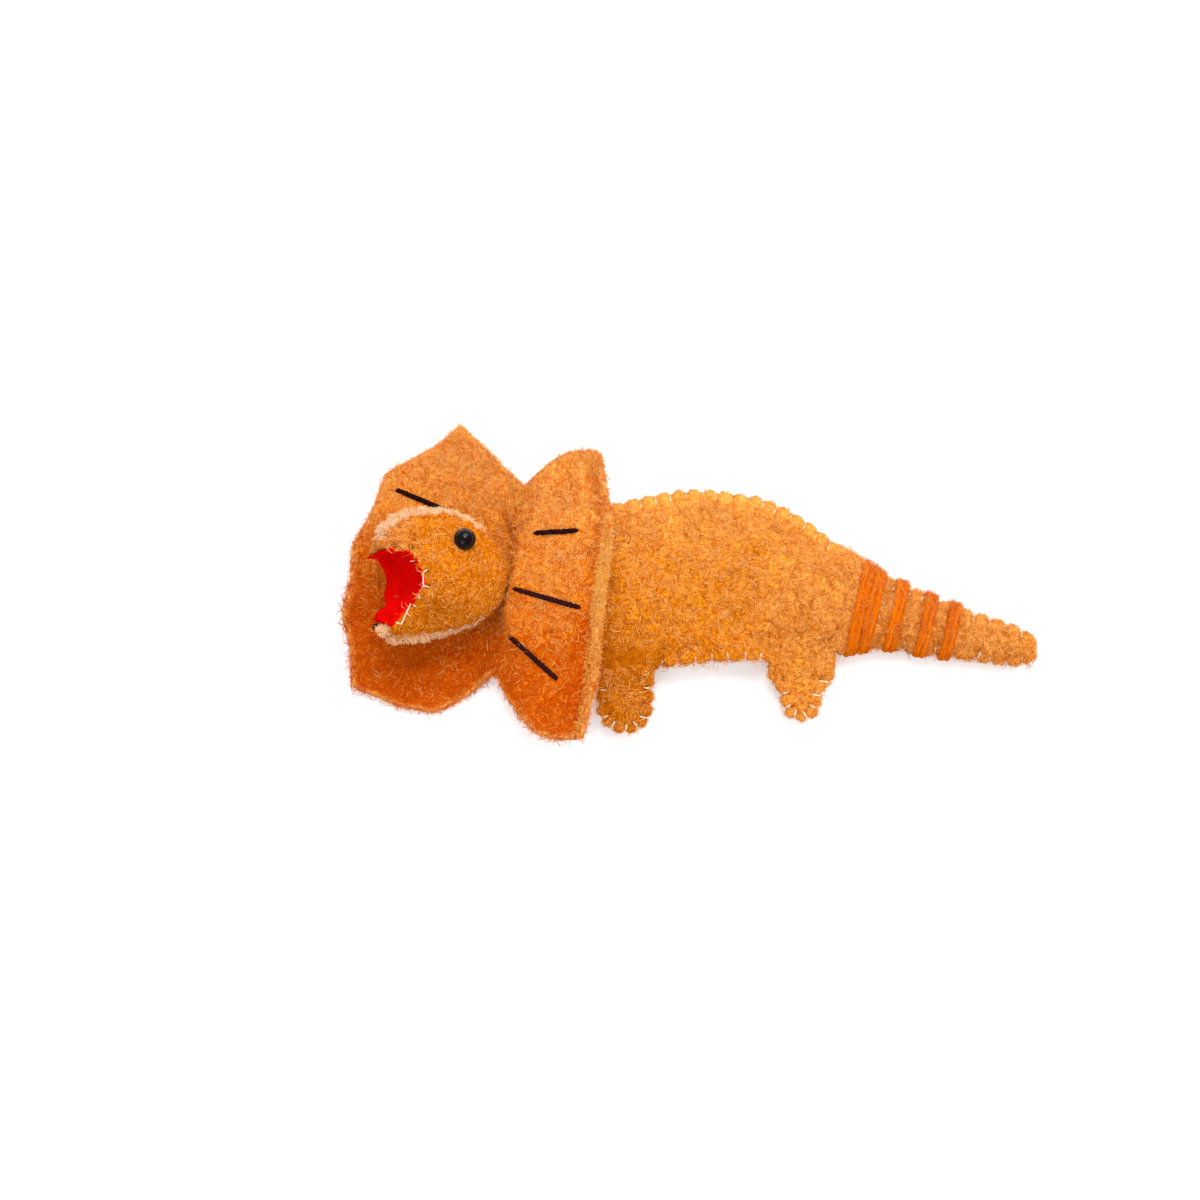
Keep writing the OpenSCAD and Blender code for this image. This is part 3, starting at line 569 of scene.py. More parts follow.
# %% The skin of body, legs and tail
front_low, front_high = box_mm("front_leg_near")
hind_low, hind_high = box_mm("hind_leg_near")
BLOCK_FACES = np.array([[0, 2, 3, 1], [4, 5, 7, 6], [0, 1, 5, 4],
                        [2, 6, 7, 3], [0, 4, 6, 2], [1, 3, 7, 5]])
bridge_reach, bridge_inset = 4.2, 0.15
body_thick, leg_thick = 3.05, 1.5

def leg_bridge(low, high):
    """Fills the leg's root, so that the felt runs straight from the body into the leg."""
    ends = ((low[0] + bridge_inset, high[0] - bridge_inset),
            (high[1] - bridge_reach, high[1] + bridge_reach), (0, 0))
    points = np.array([[ends[a][(i >> a) & 1] for a in range(3)] for i in range(8)], float)
    thick = np.where(points[:, 1] > high[1], body_thick, leg_thick)
    points[:, 2] = mid_z + np.repeat([-1, 1], 4) * thick
    return points, BLOCK_FACES

PLIES = ["torso_near", "torso_far", "front_leg_near", "front_leg_far",
         "hind_leg_near", "hind_leg_far"]
whole = skin("whole_skin", PLIES,
             [leg_bridge(front_low, front_high), leg_bridge(hind_low, hind_high), tail_core()],
             0.36, body_felt)

# %% [markdown]
# ## Where the stitches are
# The solid model holds every stitch as a small staple of thread. Reading the
# staples back gives the place, the heading and the depth of each stitch, so
# the dressed thread and the felt's scallops land exactly where the model
# has them.

# %% Find the staples
thread_half = 0.45  # half the thickness of a staple

def islands(piece):
    """Groups of points that hang together: one group for each staple."""
    seen = set()
    for vert in piece.verts:
        if vert.index in seen:
            continue
        island, queue = [], [vert]
        seen.add(vert.index)
        while queue:
            v = queue.pop()
            island.append(v)
            for edge in v.link_edges:
                w = edge.other_vert(v)
                if w.index not in seen:
                    seen.add(w.index)
                    queue.append(w)
        yield island

def staples(node, place=Matrix.Identity(4)):
    """Middle, heading, length and half depth of each stitch, in the frame of `place`."""
    piece = bmesh.new()
    piece.from_mesh(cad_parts[node].data)
    bmesh.ops.remove_doubles(piece, verts=piece.verts, dist=1e-6)
    back = place.inverted()
    found = []
    for island in islands(piece):
        co = np.array([back @ (v.co / MM) for v in island])
        flat = co[:, :2] - co[:, :2].mean(0)
        heading = np.linalg.eigh(flat.T @ flat)[1][:, 1]
        reach = flat @ heading
        x, y = co[:, :2].mean(0) + heading * (reach.max() + reach.min()) / 2
        low, high = co[:, 2].min(), co[:, 2].max()
        found.append({"middle": np.array([x, y, (low + high) / 2]),
                      "heading": np.array([*heading, 0.0]),
                      "length": reach.max() - reach.min(),
                      "half": (high - low) / 2 - thread_half})
    piece.free()
    return found

print("staples in the back seam:", len(staples("back_seam_thread")))

# %% Which way each stitch bites
def tree_of(obj, place=Matrix.Identity(4)):
    """A search tree of the mesh in millimetres, in the frame of `place`."""
    back = place.inverted()
    points = [back @ (v.co / MM) for v in obj.data.vertices]
    return BVHTree.FromPolygons(points, [tuple(p.vertices) for p in obj.data.polygons])

def land(tree, start, direction, gap):
    """Where a ray meets the felt, drawn back by gap, or None where it misses."""
    spot = tree.ray_cast(Vector(start), Vector(direction))[0]
    return None if spot is None else np.array(spot) - np.array(direction) * gap

reach_rng = np.random.default_rng(8)

def face_inwards(found, felt_tree):
    """Turns each heading from the cut edge into the felt."""
    for s in found:
        hits = []
        for sign in (1, -1):
            start = s["middle"] + sign * s["heading"] * s["length"] * 0.85 + [0, 0, 40]
            hits.append(land(felt_tree, start, (0, 0, -1), 0) is not None)
        if hits == [False, True]:
            s["heading"] = -s["heading"]
        s["edge"] = s["middle"] - s["heading"] * (s["length"] / 2 - thread_half)
        s["bite"] = s["length"] - thread_half
        s["reach"] = reach_rng.uniform(0.55, 0.85)
    return found

SEAMS = ("back_seam_thread", "chest_seam_thread", "front_leg_thread", "hind_leg_thread",
         "tail_base_thread", "tail_tip_thread")
whole_tree = tree_of(whole)
stitches = {node: face_inwards(staples(node), whole_tree) for node in SEAMS}
hems = {node: face_inwards(staples(node), whole_tree)
        for node in ("opening_hem_near_thread", "opening_hem_far_thread")}
print("stitches:", {k: len(v) for k, v in {**stitches, **hems}.items()})

# %% [markdown]
# ## Pull the felt in at each stitch
# A blanket stitch squeezes the thick felt, so the edge puffs out between two
# stitches like a row of small cushions. Each point near a stitch moves in:
# along the thread on both faces, and most of all at the very edge. A groove
# runs along the middle of the edge, where the two plies meet.

# %% Scallops and needle holes
face_reach = 2.2  # how far past a staple's ends the felt's faces may lie

def pull_stitches(points, normals, found, pull=0.8, press=0.42, width=0.5):
    moved = points.copy()
    for s in found:
        rel = points - s["edge"]
        near = np.where((np.abs(rel) < 5).all(1))[0]
        if not len(near):
            continue
        inward = rel[near] @ s["heading"]
        side = np.linalg.norm((rel[near] - np.outer(inward, s["heading"]))[:, :2], axis=1)
        beside = np.exp(-(side / width) ** 2)
        depth = np.abs(rel[near][:, 2]) < s["half"] + face_reach
        along = smooth_step(inward, s["bite"] + 0.9, s["bite"] - 0.6)
        edge = smooth_step(inward, 1.5, -0.6)
        moved[near] += (depth * beside * edge * pull)[:, None] * s["heading"]
        moved[near] -= (depth * beside * along * press)[:, None] * normals[near]
    return moved

def needle_holes(points, found, width=0.36):
    """How close each point is to the place where a needle went in, from 0 to 1."""
    close = np.zeros(len(points))
    for s in found:
        rel = points - s["edge"] - s["heading"] * (s["bite"] * s["reach"] + 0.25)
        near = np.where((np.abs(rel[:, :2]) < 1.5).all(1)
                        & (np.abs(rel[:, 2]) < s["half"] + face_reach))[0]
        close[near] = np.maximum(close[near], np.exp(-(rel[near, :2] ** 2).sum(1) / width ** 2))
    return close

print("a stitch acts on the felt up to", face_reach, "mm past its ends")

# %% Shape the skin
points, normals = points_of(whole), normals_of(whole)
smooth_points = points
hole = np.zeros(len(points))
for node, found in stitches.items():
    strength = 1.0 if "leg" in node else 0.6 if "tail" in node else 0.4
    hole = np.maximum(hole, strength * needle_holes(points, found))
for node, found in stitches.items():
    soft = 0.75 if "leg" in node else 1.0
    points = pull_stitches(points, normals, found, pull=0.8 * soft, press=0.42 * soft)
for found in hems.values():
    points = pull_stitches(points, normals, found, pull=0.45, press=0.2)
seam_z = np.where(points[:, 0] > tail_x0, tail_z(points[:, 0]), mid_z)
flat_side = smooth_step(np.abs(normals[:, 2]), 0.75, 0.3)
groove = 0.34 * flat_side * np.exp(-((points[:, 2] - seam_z) / 0.42) ** 2)
points -= groove[:, None] * normals
points += (0.16 * lumps(points, 2.6, 3.1) + 0.07 * lumps(points, 0.9, 7.7))[:, None] * normals
points -= (0.3 * hole)[:, None] * normals
points[:, 2] = np.maximum(points[:, 2], 0.03)
move_points(whole, points)
print("felt pulled in by up to", round(float(np.abs(points - smooth_points).max()), 2), "mm")

# %% [markdown]
# The felt isn't one colour all over. The cut edge of each ply is pale. The
# back and the rear are painted paler, as painted light where the lamp falls.
# Painted shade gives the deep orange low down, on the tail's lower side, by
# the neck and on the front leg, where the frill's shadow falls, and darkens
# the needle holes. Three values painted on the points tell the felt's
# material where.

# %% Paint the skin
x, y = points[:, 0], points[:, 1]
cut_edge = 0.7 * smooth_step(np.abs(points[:, 2] - seam_z), 2.4, 1.2) * flat_side
# painted light: the back and the rear are painted paler
pale_paint = np.maximum(smooth_step(y, 1, 13), smooth_step(x, 4, 26))
# less painted light on the hind leg
by_hind_leg = smooth_step(y, -9, -16) * smooth_step(x, 4, 12)
# painted shade: the frill's shadow on the front leg and by the neck, darker low down and on the
# tail's lower side
by_front_leg = smooth_step(y, -9, -18) * smooth_step(x, 0, -8)
by_neck = smooth_step(x, -9, -17) * smooth_step(y, 11, 3)
low_down = smooth_step(y, 4, -14)
low_tail = smooth_step(x, tail_x0 - 2, tail_x0 + 3) * smooth_step(y - tail_y(x), 1, -4)
painted_shade = 0.4 * low_down + 0.5 * by_neck + 0.7 * by_front_leg + 0.2 * low_tail
# painted shade in the needle holes, painted light and cut edges in "edge", painted shade in "deep"
paint(whole, "hole", 0.85 * hole)
paint(whole, "edge", np.maximum(cut_edge, 0.5 * pale_paint * (1 - 0.2 * by_hind_leg)))
paint(whole, "deep", np.clip(painted_shade, 0, 1))
print("pale on", int((pale_paint > 0.5).sum()), "points, pressed on", int((painted_shade > 0.5).sum()))

# %% [markdown]
# ## Cut the skin where it bends
# The legs and the tail swing. The skin is cut across, far enough from each
# bend that both sides of a cut move together, and the table below lists
# the two bodies that each part turns between.

# %% Cut the skin
def cut(source, name, keep):
    """A copy of the source with only the faces whose middles `keep` accepts."""
    obj = source.copy()
    obj.data = source.data.copy()
    obj.name = obj.data.name = name
    bpy.context.scene.collection.objects.link(obj)
    work = bmesh.new()
    work.from_mesh(obj.data)
    centres = np.array([f.calc_center_median() for f in work.faces]) / MM
    drop = ~keep(centres)
    bmesh.ops.delete(work, geom=[f for f, d in zip(work.faces, drop) if d], context="FACES")
    work.to_mesh(obj.data)
    work.free()
    return obj

print("to be cut:", len(whole.data.polygons), "faces")

# %% Where the cuts run
front_cut, hind_cut = front_high[1] + 0.9, hind_high[1] + 0.8
tail_cut, tip_cut = tail_x0 + 0.6, tail_x0 + 14
front_half, hind_half = 7.6, 7.4  # half the width in which a leg is cut off

def in_leg(c, low, high, half, cut_y):
    return (c[:, 1] < cut_y) & (np.abs(c[:, 0] - (low[0] + high[0]) / 2) < half)
def is_front(c): return in_leg(c, front_low, front_high, front_half, front_cut)
def is_hind(c): return in_leg(c, hind_low, hind_high, hind_half, hind_cut)
def is_tail(c): return (c[:, 0] > tail_cut) & ~is_hind(c)

REGIONS = {
    "front_leg_felt": is_front,
    "hind_leg_felt": is_hind,
    "tail_root_felt": lambda c: is_tail(c) & (c[:, 0] <= tip_cut),
    "tail_end_felt": lambda c: c[:, 0] > tip_cut,
    "body_felt": lambda c: ~is_front(c) & ~is_hind(c) & ~is_tail(c),
}
felt_parts = {name: cut(whole, name, keep) for name, keep in REGIONS.items()}
whole_tree = tree_of(whole)
bpy.data.objects.remove(whole)
print("felt parts:", {k: len(v.data.polygons) for k, v in felt_parts.items()})

# %% [markdown]
# ## Which body each part belongs to
# The table gives each region its body, or its two bodies and two points of
# its bend. A piece of a region with one body is fixed to that body; a piece
# of a region between two bodies keeps its place. The same few lines serve
# the felt, its stitches and its fibres.

# %% Movement of each region
def at(x, y, z): return (x * MM, y * MM, z * MM)

tip_hinge = 53.3
front_x, hind_x = front_low[0], hind_low[0]
moves = {
    "body": ("body",),
    "head": ("head",),
    "tail_base": ("tail_base",),
    "front_leg": ("body", "front_leg",
                  at(front_x, front_cut - 0.2, mid_z), at(front_x, front_cut - 5, mid_z)),
    "hind_leg": ("body", "hind_leg",
                 at(hind_x, hind_cut - 0.2, mid_z), at(hind_x, hind_cut - 5, mid_z)),
    "tail_root": ("body", "tail_base",
                  at(tail_cut + 0.1, 0, mid_z), at(tail_cut + 5.6, 0, mid_z)),
    "tail_end": ("tail_base", "tail_tip", at(tip_hinge - 3, 0, 3), at(tip_hinge + 3, 0, 3)),
}

def attach(obj, region):
    """Fixes a piece to the region's body, or bakes its place into its mesh where the region has two
    bodies.
    """
    move = moves[region]
    if len(move) == 1:
        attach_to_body(obj, move[0])
    else:
        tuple(move[2])
        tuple(move[3])
        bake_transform(obj)
    return obj

print("bending regions:", [region for region, move in moves.items() if len(move) > 1])

# %% Dress body, legs and tail
for name, obj in felt_parts.items():
    attach(obj, name.removesuffix("_felt"))
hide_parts("torso_near", "torso_far")
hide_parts("front_leg_near", "front_leg_far")
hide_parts("hind_leg_near", "hind_leg_far")
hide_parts("tail_base_near", "tail_base_far", "tail_base_wool")
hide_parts("tail_tip_near", "tail_tip_far", "tail_tip_wool")
print("body, legs and tail dressed")

# %% [markdown]
# ## The stuffed head
# The head is two felt cheeks sewn together over the crown and under the
# chin, and stuffed hard. Its seam stands up as a pale fuzzy ridge. The mouth
# is a notch in front, lined with red felt.
#
# The same remesh works here. In the head's own frame the seam lies in one
# flat plane, which makes the ridge easy to raise.

# %% Head skin and its stitches
head_centre, head_tilt = (-45.55, 0, 11.0), math.radians(24)
head_place = Matrix.Translation(head_centre) @ Matrix.Rotation(head_tilt, 4, "Y")
head_turn, head_shift = np.array(head_place.to_3x3()), np.array(head_place.translation)

def to_head(points): return (points - head_shift) @ head_turn
def from_head(points): return points @ head_turn.T + head_shift

head = skin("head_felt", ["cheek_near", "cheek_far", "head_wool"], [], 0.33, head_felt, rounds=5)
head_seams = ("crown_seam_thread", "chin_seam_thread")
lips = ("mouth_near_thread", "mouth_far_thread")
head_tree = tree_of(head, head_place)
for node in head_seams + lips:
    stitches[node] = face_inwards(staples(node, head_place), head_tree)
print("head stitches:", sum(len(stitches[node]) for node in head_seams + lips))

# %% Shape the head
def seam_band(points, normals):
    """1 on the pale, fuzzy band that the two cheeks' cut edges make along the seam."""
    return (smooth_step(np.abs(points[:, 2] + 0.1), 3.1, 1.8)
            * smooth_step(np.abs(normals[:, 2]), 0.95, 0.6))

points, normals = to_head(points_of(head)), normals_of(head) @ head_turn
seam_stitches = stitches["crown_seam_thread"] + stitches["chin_seam_thread"]
near_lip = [s for s in stitches["mouth_near_thread"] if s["middle"][1] > -2]
hole = np.maximum(0.25 * needle_holes(points, seam_stitches),
                  needle_holes(points, near_lip, width=0.52))
points -= (0.3 * hole)[:, None] * normals
on_rim = (smooth_step(np.abs(points[:, 2]), 2.0, 0.7)
          * smooth_step(np.abs(normals[:, 2]), 0.95, 0.5))
mouth_side = smooth_step(points[:, 0] + 0.35 * np.abs(points[:, 1]), -7.5, -5.5)
open_rim = (np.maximum(mouth_side, smooth_step(np.abs(points[:, 1]), 6.5, 8.5))
            * smooth_step(points[:, 0], 9.5, 6.0))
rim = on_rim * open_rim
pale_rim = seam_band(points, normals) * open_rim
points += (0.22 * rim)[:, None] * normals
points -= (0.25 * rim * np.exp(-(points[:, 2] / 0.4) ** 2))[:, None] * normals
for node in head_seams:
    points = pull_stitches(points, normals, stitches[node], pull=0.35, press=0.25)
points += (0.18 * lumps(points, 3.2, 11.0) + 0.07 * lumps(points, 1.0, 5.0))[:, None] * normals
move_points(head, from_head(points))
print("head:", len(points), "points, rim on", int((rim > 0.5).sum()))

# %% Paint and place the head
# painted light: the top of the snout is painted paler
brow = 0.15 * smooth_step(points[:, 0], -5, -10) * smooth_step(points[:, 1], 0, 4)
# painted shade in the needle holes
paint(head, "hole", hole)
paint(head, "edge", np.maximum(pale_rim, brow))
# the head's own deeper tone all over, plus painted shade on its lower side
paint(head, "deep", 0.45 + 0.25 * smooth_step(points[:, 1], 0, -11))
attach(head, "head")
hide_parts("cheek_near", "cheek_far", "head_wool")
head_tree = tree_of(head, head_place)
print("head sewn along", len(seam_stitches), "stitches")

# %% [markdown]
# ## The red lining
# The real mouth is lined with a piece of thin red felt, sewn to the edge of
# both cheeks. A solid cut to the mouth's shape would show every small error
# against the lumpy skin. Here the lining is laid on the skin instead: a fan
# of rays from a point in front of the mouth finds the felt at many heights,
# and the nearest places on each side are the two lips. The sheet hangs
# between the lips, just off the skin, and is evened out.

# %% Feel for the mouth
fan_x, fan_y = -16, -1.5
fan = np.radians(np.linspace(-50, 57, 64))
heights = np.linspace(-8, 8, 129)
lining_t, missed = 0.7, 20.0

def mouth_reach():
    """How far each ray of the fan runs at each height, and the two lips' heights."""
    reach, ends, far_lip = [], [], []
    for angle in fan:
        way = [math.cos(angle), math.sin(angle), 0]
        hits = [land(head_tree, [fan_x, fan_y, z], way, 0.2) for z in heights]
        run = np.array([missed if h is None else math.hypot(h[0] - fan_x, h[1] - fan_y)
                        for h in hits])
        sides = [np.where(heights * sign > 0.3)[0] for sign in (1, -1)]
        ends.append([sign * np.abs(heights[k][run[k] < run[k].min() + 0.45]).max()
                     for sign, k in zip((1, -1), sides)])
        far_lip.append(run[sides[1]].min())
        reach.append(run)
    ends = evened(np.array(ends) - [0, 0.3], rounds=8)
    return np.array(reach), ends, np.array(far_lip)[:, None]

print("fan of", len(fan), "rays at", len(heights), "heights")

# %% The lining's sheet
def mouth_lining(cols=30):
    """Points and faces of the sheet, from the near lip to the far lip."""
    found, ends, far_lip = mouth_reach()
    across = np.linspace(0, 1, cols)
    reach = np.array([np.interp(top + (low - top) * across, heights, run)
                      for run, (top, low) in zip(found, ends)])
    reach = np.where(across > 0.75, np.minimum(reach, far_lip), reach)
    reach -= 0.15 + 0.75 * smooth_step(across, 0.03, 0.5)
    for _ in range(2):
        reach = evened(reach)
        reach = evened(reach.T).T
    height = ends[:, :1] + (ends[:, 1:] - ends[:, :1]) * across
    layers = [np.stack([fan_x + (reach + deep) * np.cos(fan)[:, None],
                        fan_y + (reach + deep) * np.sin(fan)[:, None],
                        height], 2).reshape(-1, 3) for deep in (0, lining_t)]
    rows, n = len(fan), len(fan) * cols
    index = np.arange(n).reshape(rows, cols)
    rim = [*index[0], *index[1:, -1], *index[-1, -2::-1], *index[-2:0:-1, 0]]
    faces = [list(f) for f in grid_faces(rows, cols)]
    faces += [list(f) for f in grid_faces(rows, cols, flip=True, start=n)]
    faces += [[b, a, a + n, b + n] for a, b in zip(rim, rim[1:] + rim[:1])]
    return np.concatenate(layers), faces

points, faces = mouth_lining()
print("lining sheet:", len(faces), "faces")

# %% Lay the red lining
lining = make_mesh("mouth_lining_felt", from_head(points), faces, red_felt)
work = bmesh.new()
work.from_mesh(lining.data)
bmesh.ops.recalc_face_normals(work, faces=work.faces)
work.to_mesh(lining.data)
work.free()
points, normals = points_of(lining), normals_of(lining)
move_points(lining, points + (0.10 * lumps(points, 1.6, 2.0))[:, None] * normals)
attach(lining, "head")
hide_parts("mouth_lining")
print("red lining:", len(points), "points")

# %% [markdown]
# ## The rolled neck
# A strip of felt, rolled up, joins the body to the head and carries the
# frill. Its end shows the turns of the roll. Here it is a flat-sided tube
# with a spiral step pressed into both ends.

# %% Neck
neck_low, neck_high = box_mm("neck_roll")
around, rings, end_rings = 56, 36, 6

def neck_ring(k):
    """Place along the roll and share of its width of ring k: two stepped ends and a tube."""
    last = k - rings - end_rings
    if k < end_rings:
        return neck_low[0] + 0.10 * (end_rings - 1 - k), (k + 0.25) / end_rings
    if last >= 0:
        return neck_high[0] - 0.10 * last, (end_rings - 0.75 - last) / end_rings
    return neck_low[0] + (k - end_rings) / (rings - 1) * (neck_high[0] - neck_low[0]), 1.0

def rolled_neck():
    centre, half = (neck_low + neck_high) / 2, (neck_high - neck_low) / 2
    angle = np.linspace(0, 2 * np.pi, around, endpoint=False)
    rows = []
    for k in range(rings + 2 * end_rings):
        x, share = neck_ring(k)
        spiral = 0.12 * np.sin(3 * 2 * np.pi * share + angle) if share < 1 else 0 * angle
        rows.append(np.stack([np.full(around, x) + (spiral if k < end_rings else -spiral),
                              centre[1] + half[1] * share * np.cos(angle),
                              centre[2] + half[2] * share * np.sin(angle)], 1))
    n = len(rows)
    i, j = np.meshgrid(np.arange(n - 1), np.arange(around), indexing="ij")
    a, b = (i * around + j).ravel(), (i * around + (j + 1) % around).ravel()
    faces = np.stack([a, b, b + around, a + around], 1).tolist()
    caps = [list(range(around))[::-1], [(n - 1) * around + k for k in range(around)]]
    return np.concatenate(rows), faces + caps

neck = make_mesh("neck_felt", *rolled_neck(), body_felt)
points, normals = points_of(neck), normals_of(neck)
move_points(neck, points + (0.08 * lumps(points, 1.5, 4.0) - 0.05)[:, None] * normals)
moves["neck"] = ("body", "neck", at(neck_high[0] - 1.5, 0, mid_z), at(neck_high[0] - 4.5, 0, mid_z))
attach(neck, "neck")
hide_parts("neck_roll")
print("neck", np.round(neck_high - neck_low, 1), "mm")

# %% [markdown]
# ## The folded frill
# The frill is one sheet of thick felt. Its near lobe lies over the
# shoulders, then the felt bends down past the neck and runs on under the
# head as the far lobe. It is drawn as one grid: along the fold in one
# direction and across both lobes in the other, so the fold is a true bend
# with no seam. Beside the neck the bend is steep, and out at its two ends,
# where nothing holds it, it opens into a long slope.

# %% Frill outline
fold_x, fold_lean, fold_len, frill_len = -32.9, math.radians(9), 35.0, 53.0
lean_cos, lean_sin = math.cos(fold_lean), math.sin(fold_lean)
near_depth, far_depth = 18.6, 30.1
near_z0, near_slope = 7.07 + 0.82, math.tan(math.radians(9.6))
rim_rise, rim_width = 1.6, 2.56  # the near lobe's edge turns up
far_z0, far_rise = 0.86, 0.8
# corners of the cut edges: place along the lobe from -1 to 1, share of its depth
NEAR_EDGE = [(-0.975, 0.94), (-0.592, 0.99), (-0.11, 0.935), (0.26, 0.91),
             (0.54, 0.88), (0.77, 0.772), (0.93, 0.69), (0.955, 0.6)]
FAR_EDGE = [(-0.985, 0.338), (-0.98, 0.575), (-0.895, 0.87), (-0.642, 0.915),
            (-0.406, 1), (-0.161, 0.982), (0.075, 1), (0.318, 0.912),
            (0.602, 0.863), (0.845, 0.58), (1.01, 0.462)]
ALONG = np.linspace(0, 1, 141)

def outline(edge):
    """The cut edge at each step along the fold, its corners rounded a little."""
    at_step = np.linspace(0, 1, len(edge))
    return evened(np.stack([np.interp(ALONG, at_step, [e[k] for e in edge]) for k in (0, 1)], 1))

near_out, far_out = outline(NEAR_EDGE), outline(FAR_EDGE)

def lobe_v(w, start, end, out, bow):
    """Place along the fold of a point w away from it."""
    u = np.clip((w - start) / (end - start), 0, 1)
    root = (ALONG - 0.5)[:, None] * fold_len
    return (root + (out[:, :1] * frill_len / 2 - root) * u
            + bow[:, None] * fold_len * np.sin(np.pi * u))

def near_z(w, end):
    return near_z0 + w * near_slope + rim_rise * np.clip(1 - (end - w) / rim_width, 0, 1) ** 2
def far_z(w, end): return far_z0 + far_rise * np.clip(w / end, 0, 1) ** 4
print("frill outline:", len(NEAR_EDGE), "and", len(FAR_EDGE), "corners")

# %% The bend between the lobes
def s_bend(drop, angle, radius, steps):
    """Points of a bend down and back to level: two arcs and a straight."""
    straight = max(0.05, (drop - 2 * radius * (1 - math.cos(angle))) / math.sin(angle))
    total = 2 * radius * angle + straight
    path = []
    for s in np.linspace(0, total, steps):
        turn = min(s / radius, angle)
        x, z = radius * math.sin(turn), -radius * (1 - math.cos(turn))
        if s > radius * angle:
            run = min(s - radius * angle, straight)
            x, z = x + run * math.cos(angle), z - run * math.sin(angle)
            if s > radius * angle + straight:
                back = angle - (s - radius * angle - straight) / radius
                x += radius * (math.sin(angle) - math.sin(back))
                z -= radius * (math.cos(back) - math.cos(angle))
        path.append((x, z))
    return np.array(path)

print("a bend of 7 mm runs", round(float(s_bend(7, 1.5, 1.15, 31)[-1, 0]), 1), "mm outwards")

# %% The frill's middle surface
NEAR_STEPS, BEND_STEPS, FAR_STEPS = 54, 31, 80
held_to, open_from = 5.5, 12.5  # how far from its middle the neck holds the bend steep

def frill_surface():
    """Grid of points, with each point's distance from the fold (w) and place along it (v)."""
    near_end = (near_out[:, 1:] * near_depth - 0.45)
    far_end = far_out[:, 1:] * far_depth
    open_end = smooth_step(np.abs((ALONG - 0.5) * fold_len), held_to, open_from)
    w_rows, z_rows = [], []
    for k in range(len(ALONG)):
        angle, radius = math.radians(87 - 40 * open_end[k]), 1.15 + 1.2 * open_end[k]
        reach = 4.6 * open_end[k] + 1.2
        drop = float(near_z(reach, near_end[k, 0]) - far_z0)
        bend = s_bend(drop, angle, radius, BEND_STEPS)
        shift = 0.3 + bend[-1, 0] / 2
        top = float(near_z(shift, near_end[k, 0]))
        bend[:, 1] *= (top - far_z0) / -bend[-1, 1]
        near_w = np.linspace(near_end[k, 0], shift, NEAR_STEPS)
        far_w = np.linspace(bend[-1, 0] - shift, far_end[k, 0], FAR_STEPS)
        w_rows.append(np.concatenate([near_w[:-1], shift - bend[:, 0], -far_w[1:]]))
        z_rows.append(np.concatenate([near_z(near_w[:-1], near_end[k, 0]), top + bend[:, 1],
                                      far_z(far_w[1:], far_end[k, 0])]))
    w, z = np.array(w_rows), np.array(z_rows)
    near_bow, far_bow = -0.135 + 0.2 * ALONG, -0.03 + 0.036 * ALONG
    v = np.where(w > 0, lobe_v(w, 0.2, near_end, near_out, near_bow),
                 lobe_v(-w, 0.9, far_end, far_out, far_bow))
    x, y = fold_x + lean_cos * w + lean_sin * v, -lean_sin * w + lean_cos * v
    return np.stack([x, y, z], -1), w, v

surface, surface_w, surface_v = frill_surface()
print("frill grid", surface.shape)

# %% [markdown]
# The sheet gets its thickness from both sides of that surface, and its cut
# edges are rounded over. A hole is cut where the neck passes through.

# %% Normals and edges of the frill
def sheet_normals(grid):
    return unit(np.cross(np.gradient(grid, axis=1), np.gradient(grid, axis=0)))

def rim_distance(grid, cut_start, cut_end):
    """How far each point lies from a cut edge, measured along the felt."""
    steps = np.linalg.norm(np.diff(grid, axis=1), axis=-1)
    across = np.concatenate([np.zeros((len(grid), 1)), np.cumsum(steps, 1)], 1)
    near = across if cut_start else across * 0 + 99
    far = across[:, -1:] - across if cut_end else across * 0 + 99
    steps = np.linalg.norm(np.diff(grid, axis=0), axis=-1)
    along = np.concatenate([np.zeros((1, grid.shape[1])), np.cumsum(steps, 0)], 0)
    return np.minimum(np.minimum(near, far), np.minimum(along, along[-1:] - along))

def neck_hole(points, faces, w, v):
    """Cuts a hole a little larger than the rolled neck, and rounds its edge."""
    neck_mid, neck_half = (neck_low + neck_high) / 2, (neck_high - neck_low) / 2 + 0.25
    away = np.hypot((v - neck_mid[1]) / neck_half[1],
                    (points[:, 2] - neck_mid[2]) / neck_half[2])
    inside = (away < 1) & (np.abs(w) < 2.6)
    pulled = np.where(inside)[0]
    scale = 1 / np.maximum(away[pulled], 0.2)
    points[pulled, 2] = neck_mid[2] + (points[pulled, 2] - neck_mid[2]) * scale
    return points, faces[~inside[faces].all(1)]

print("rolled neck passes through at x", round(float(neck_low[0]), 1), "mm")

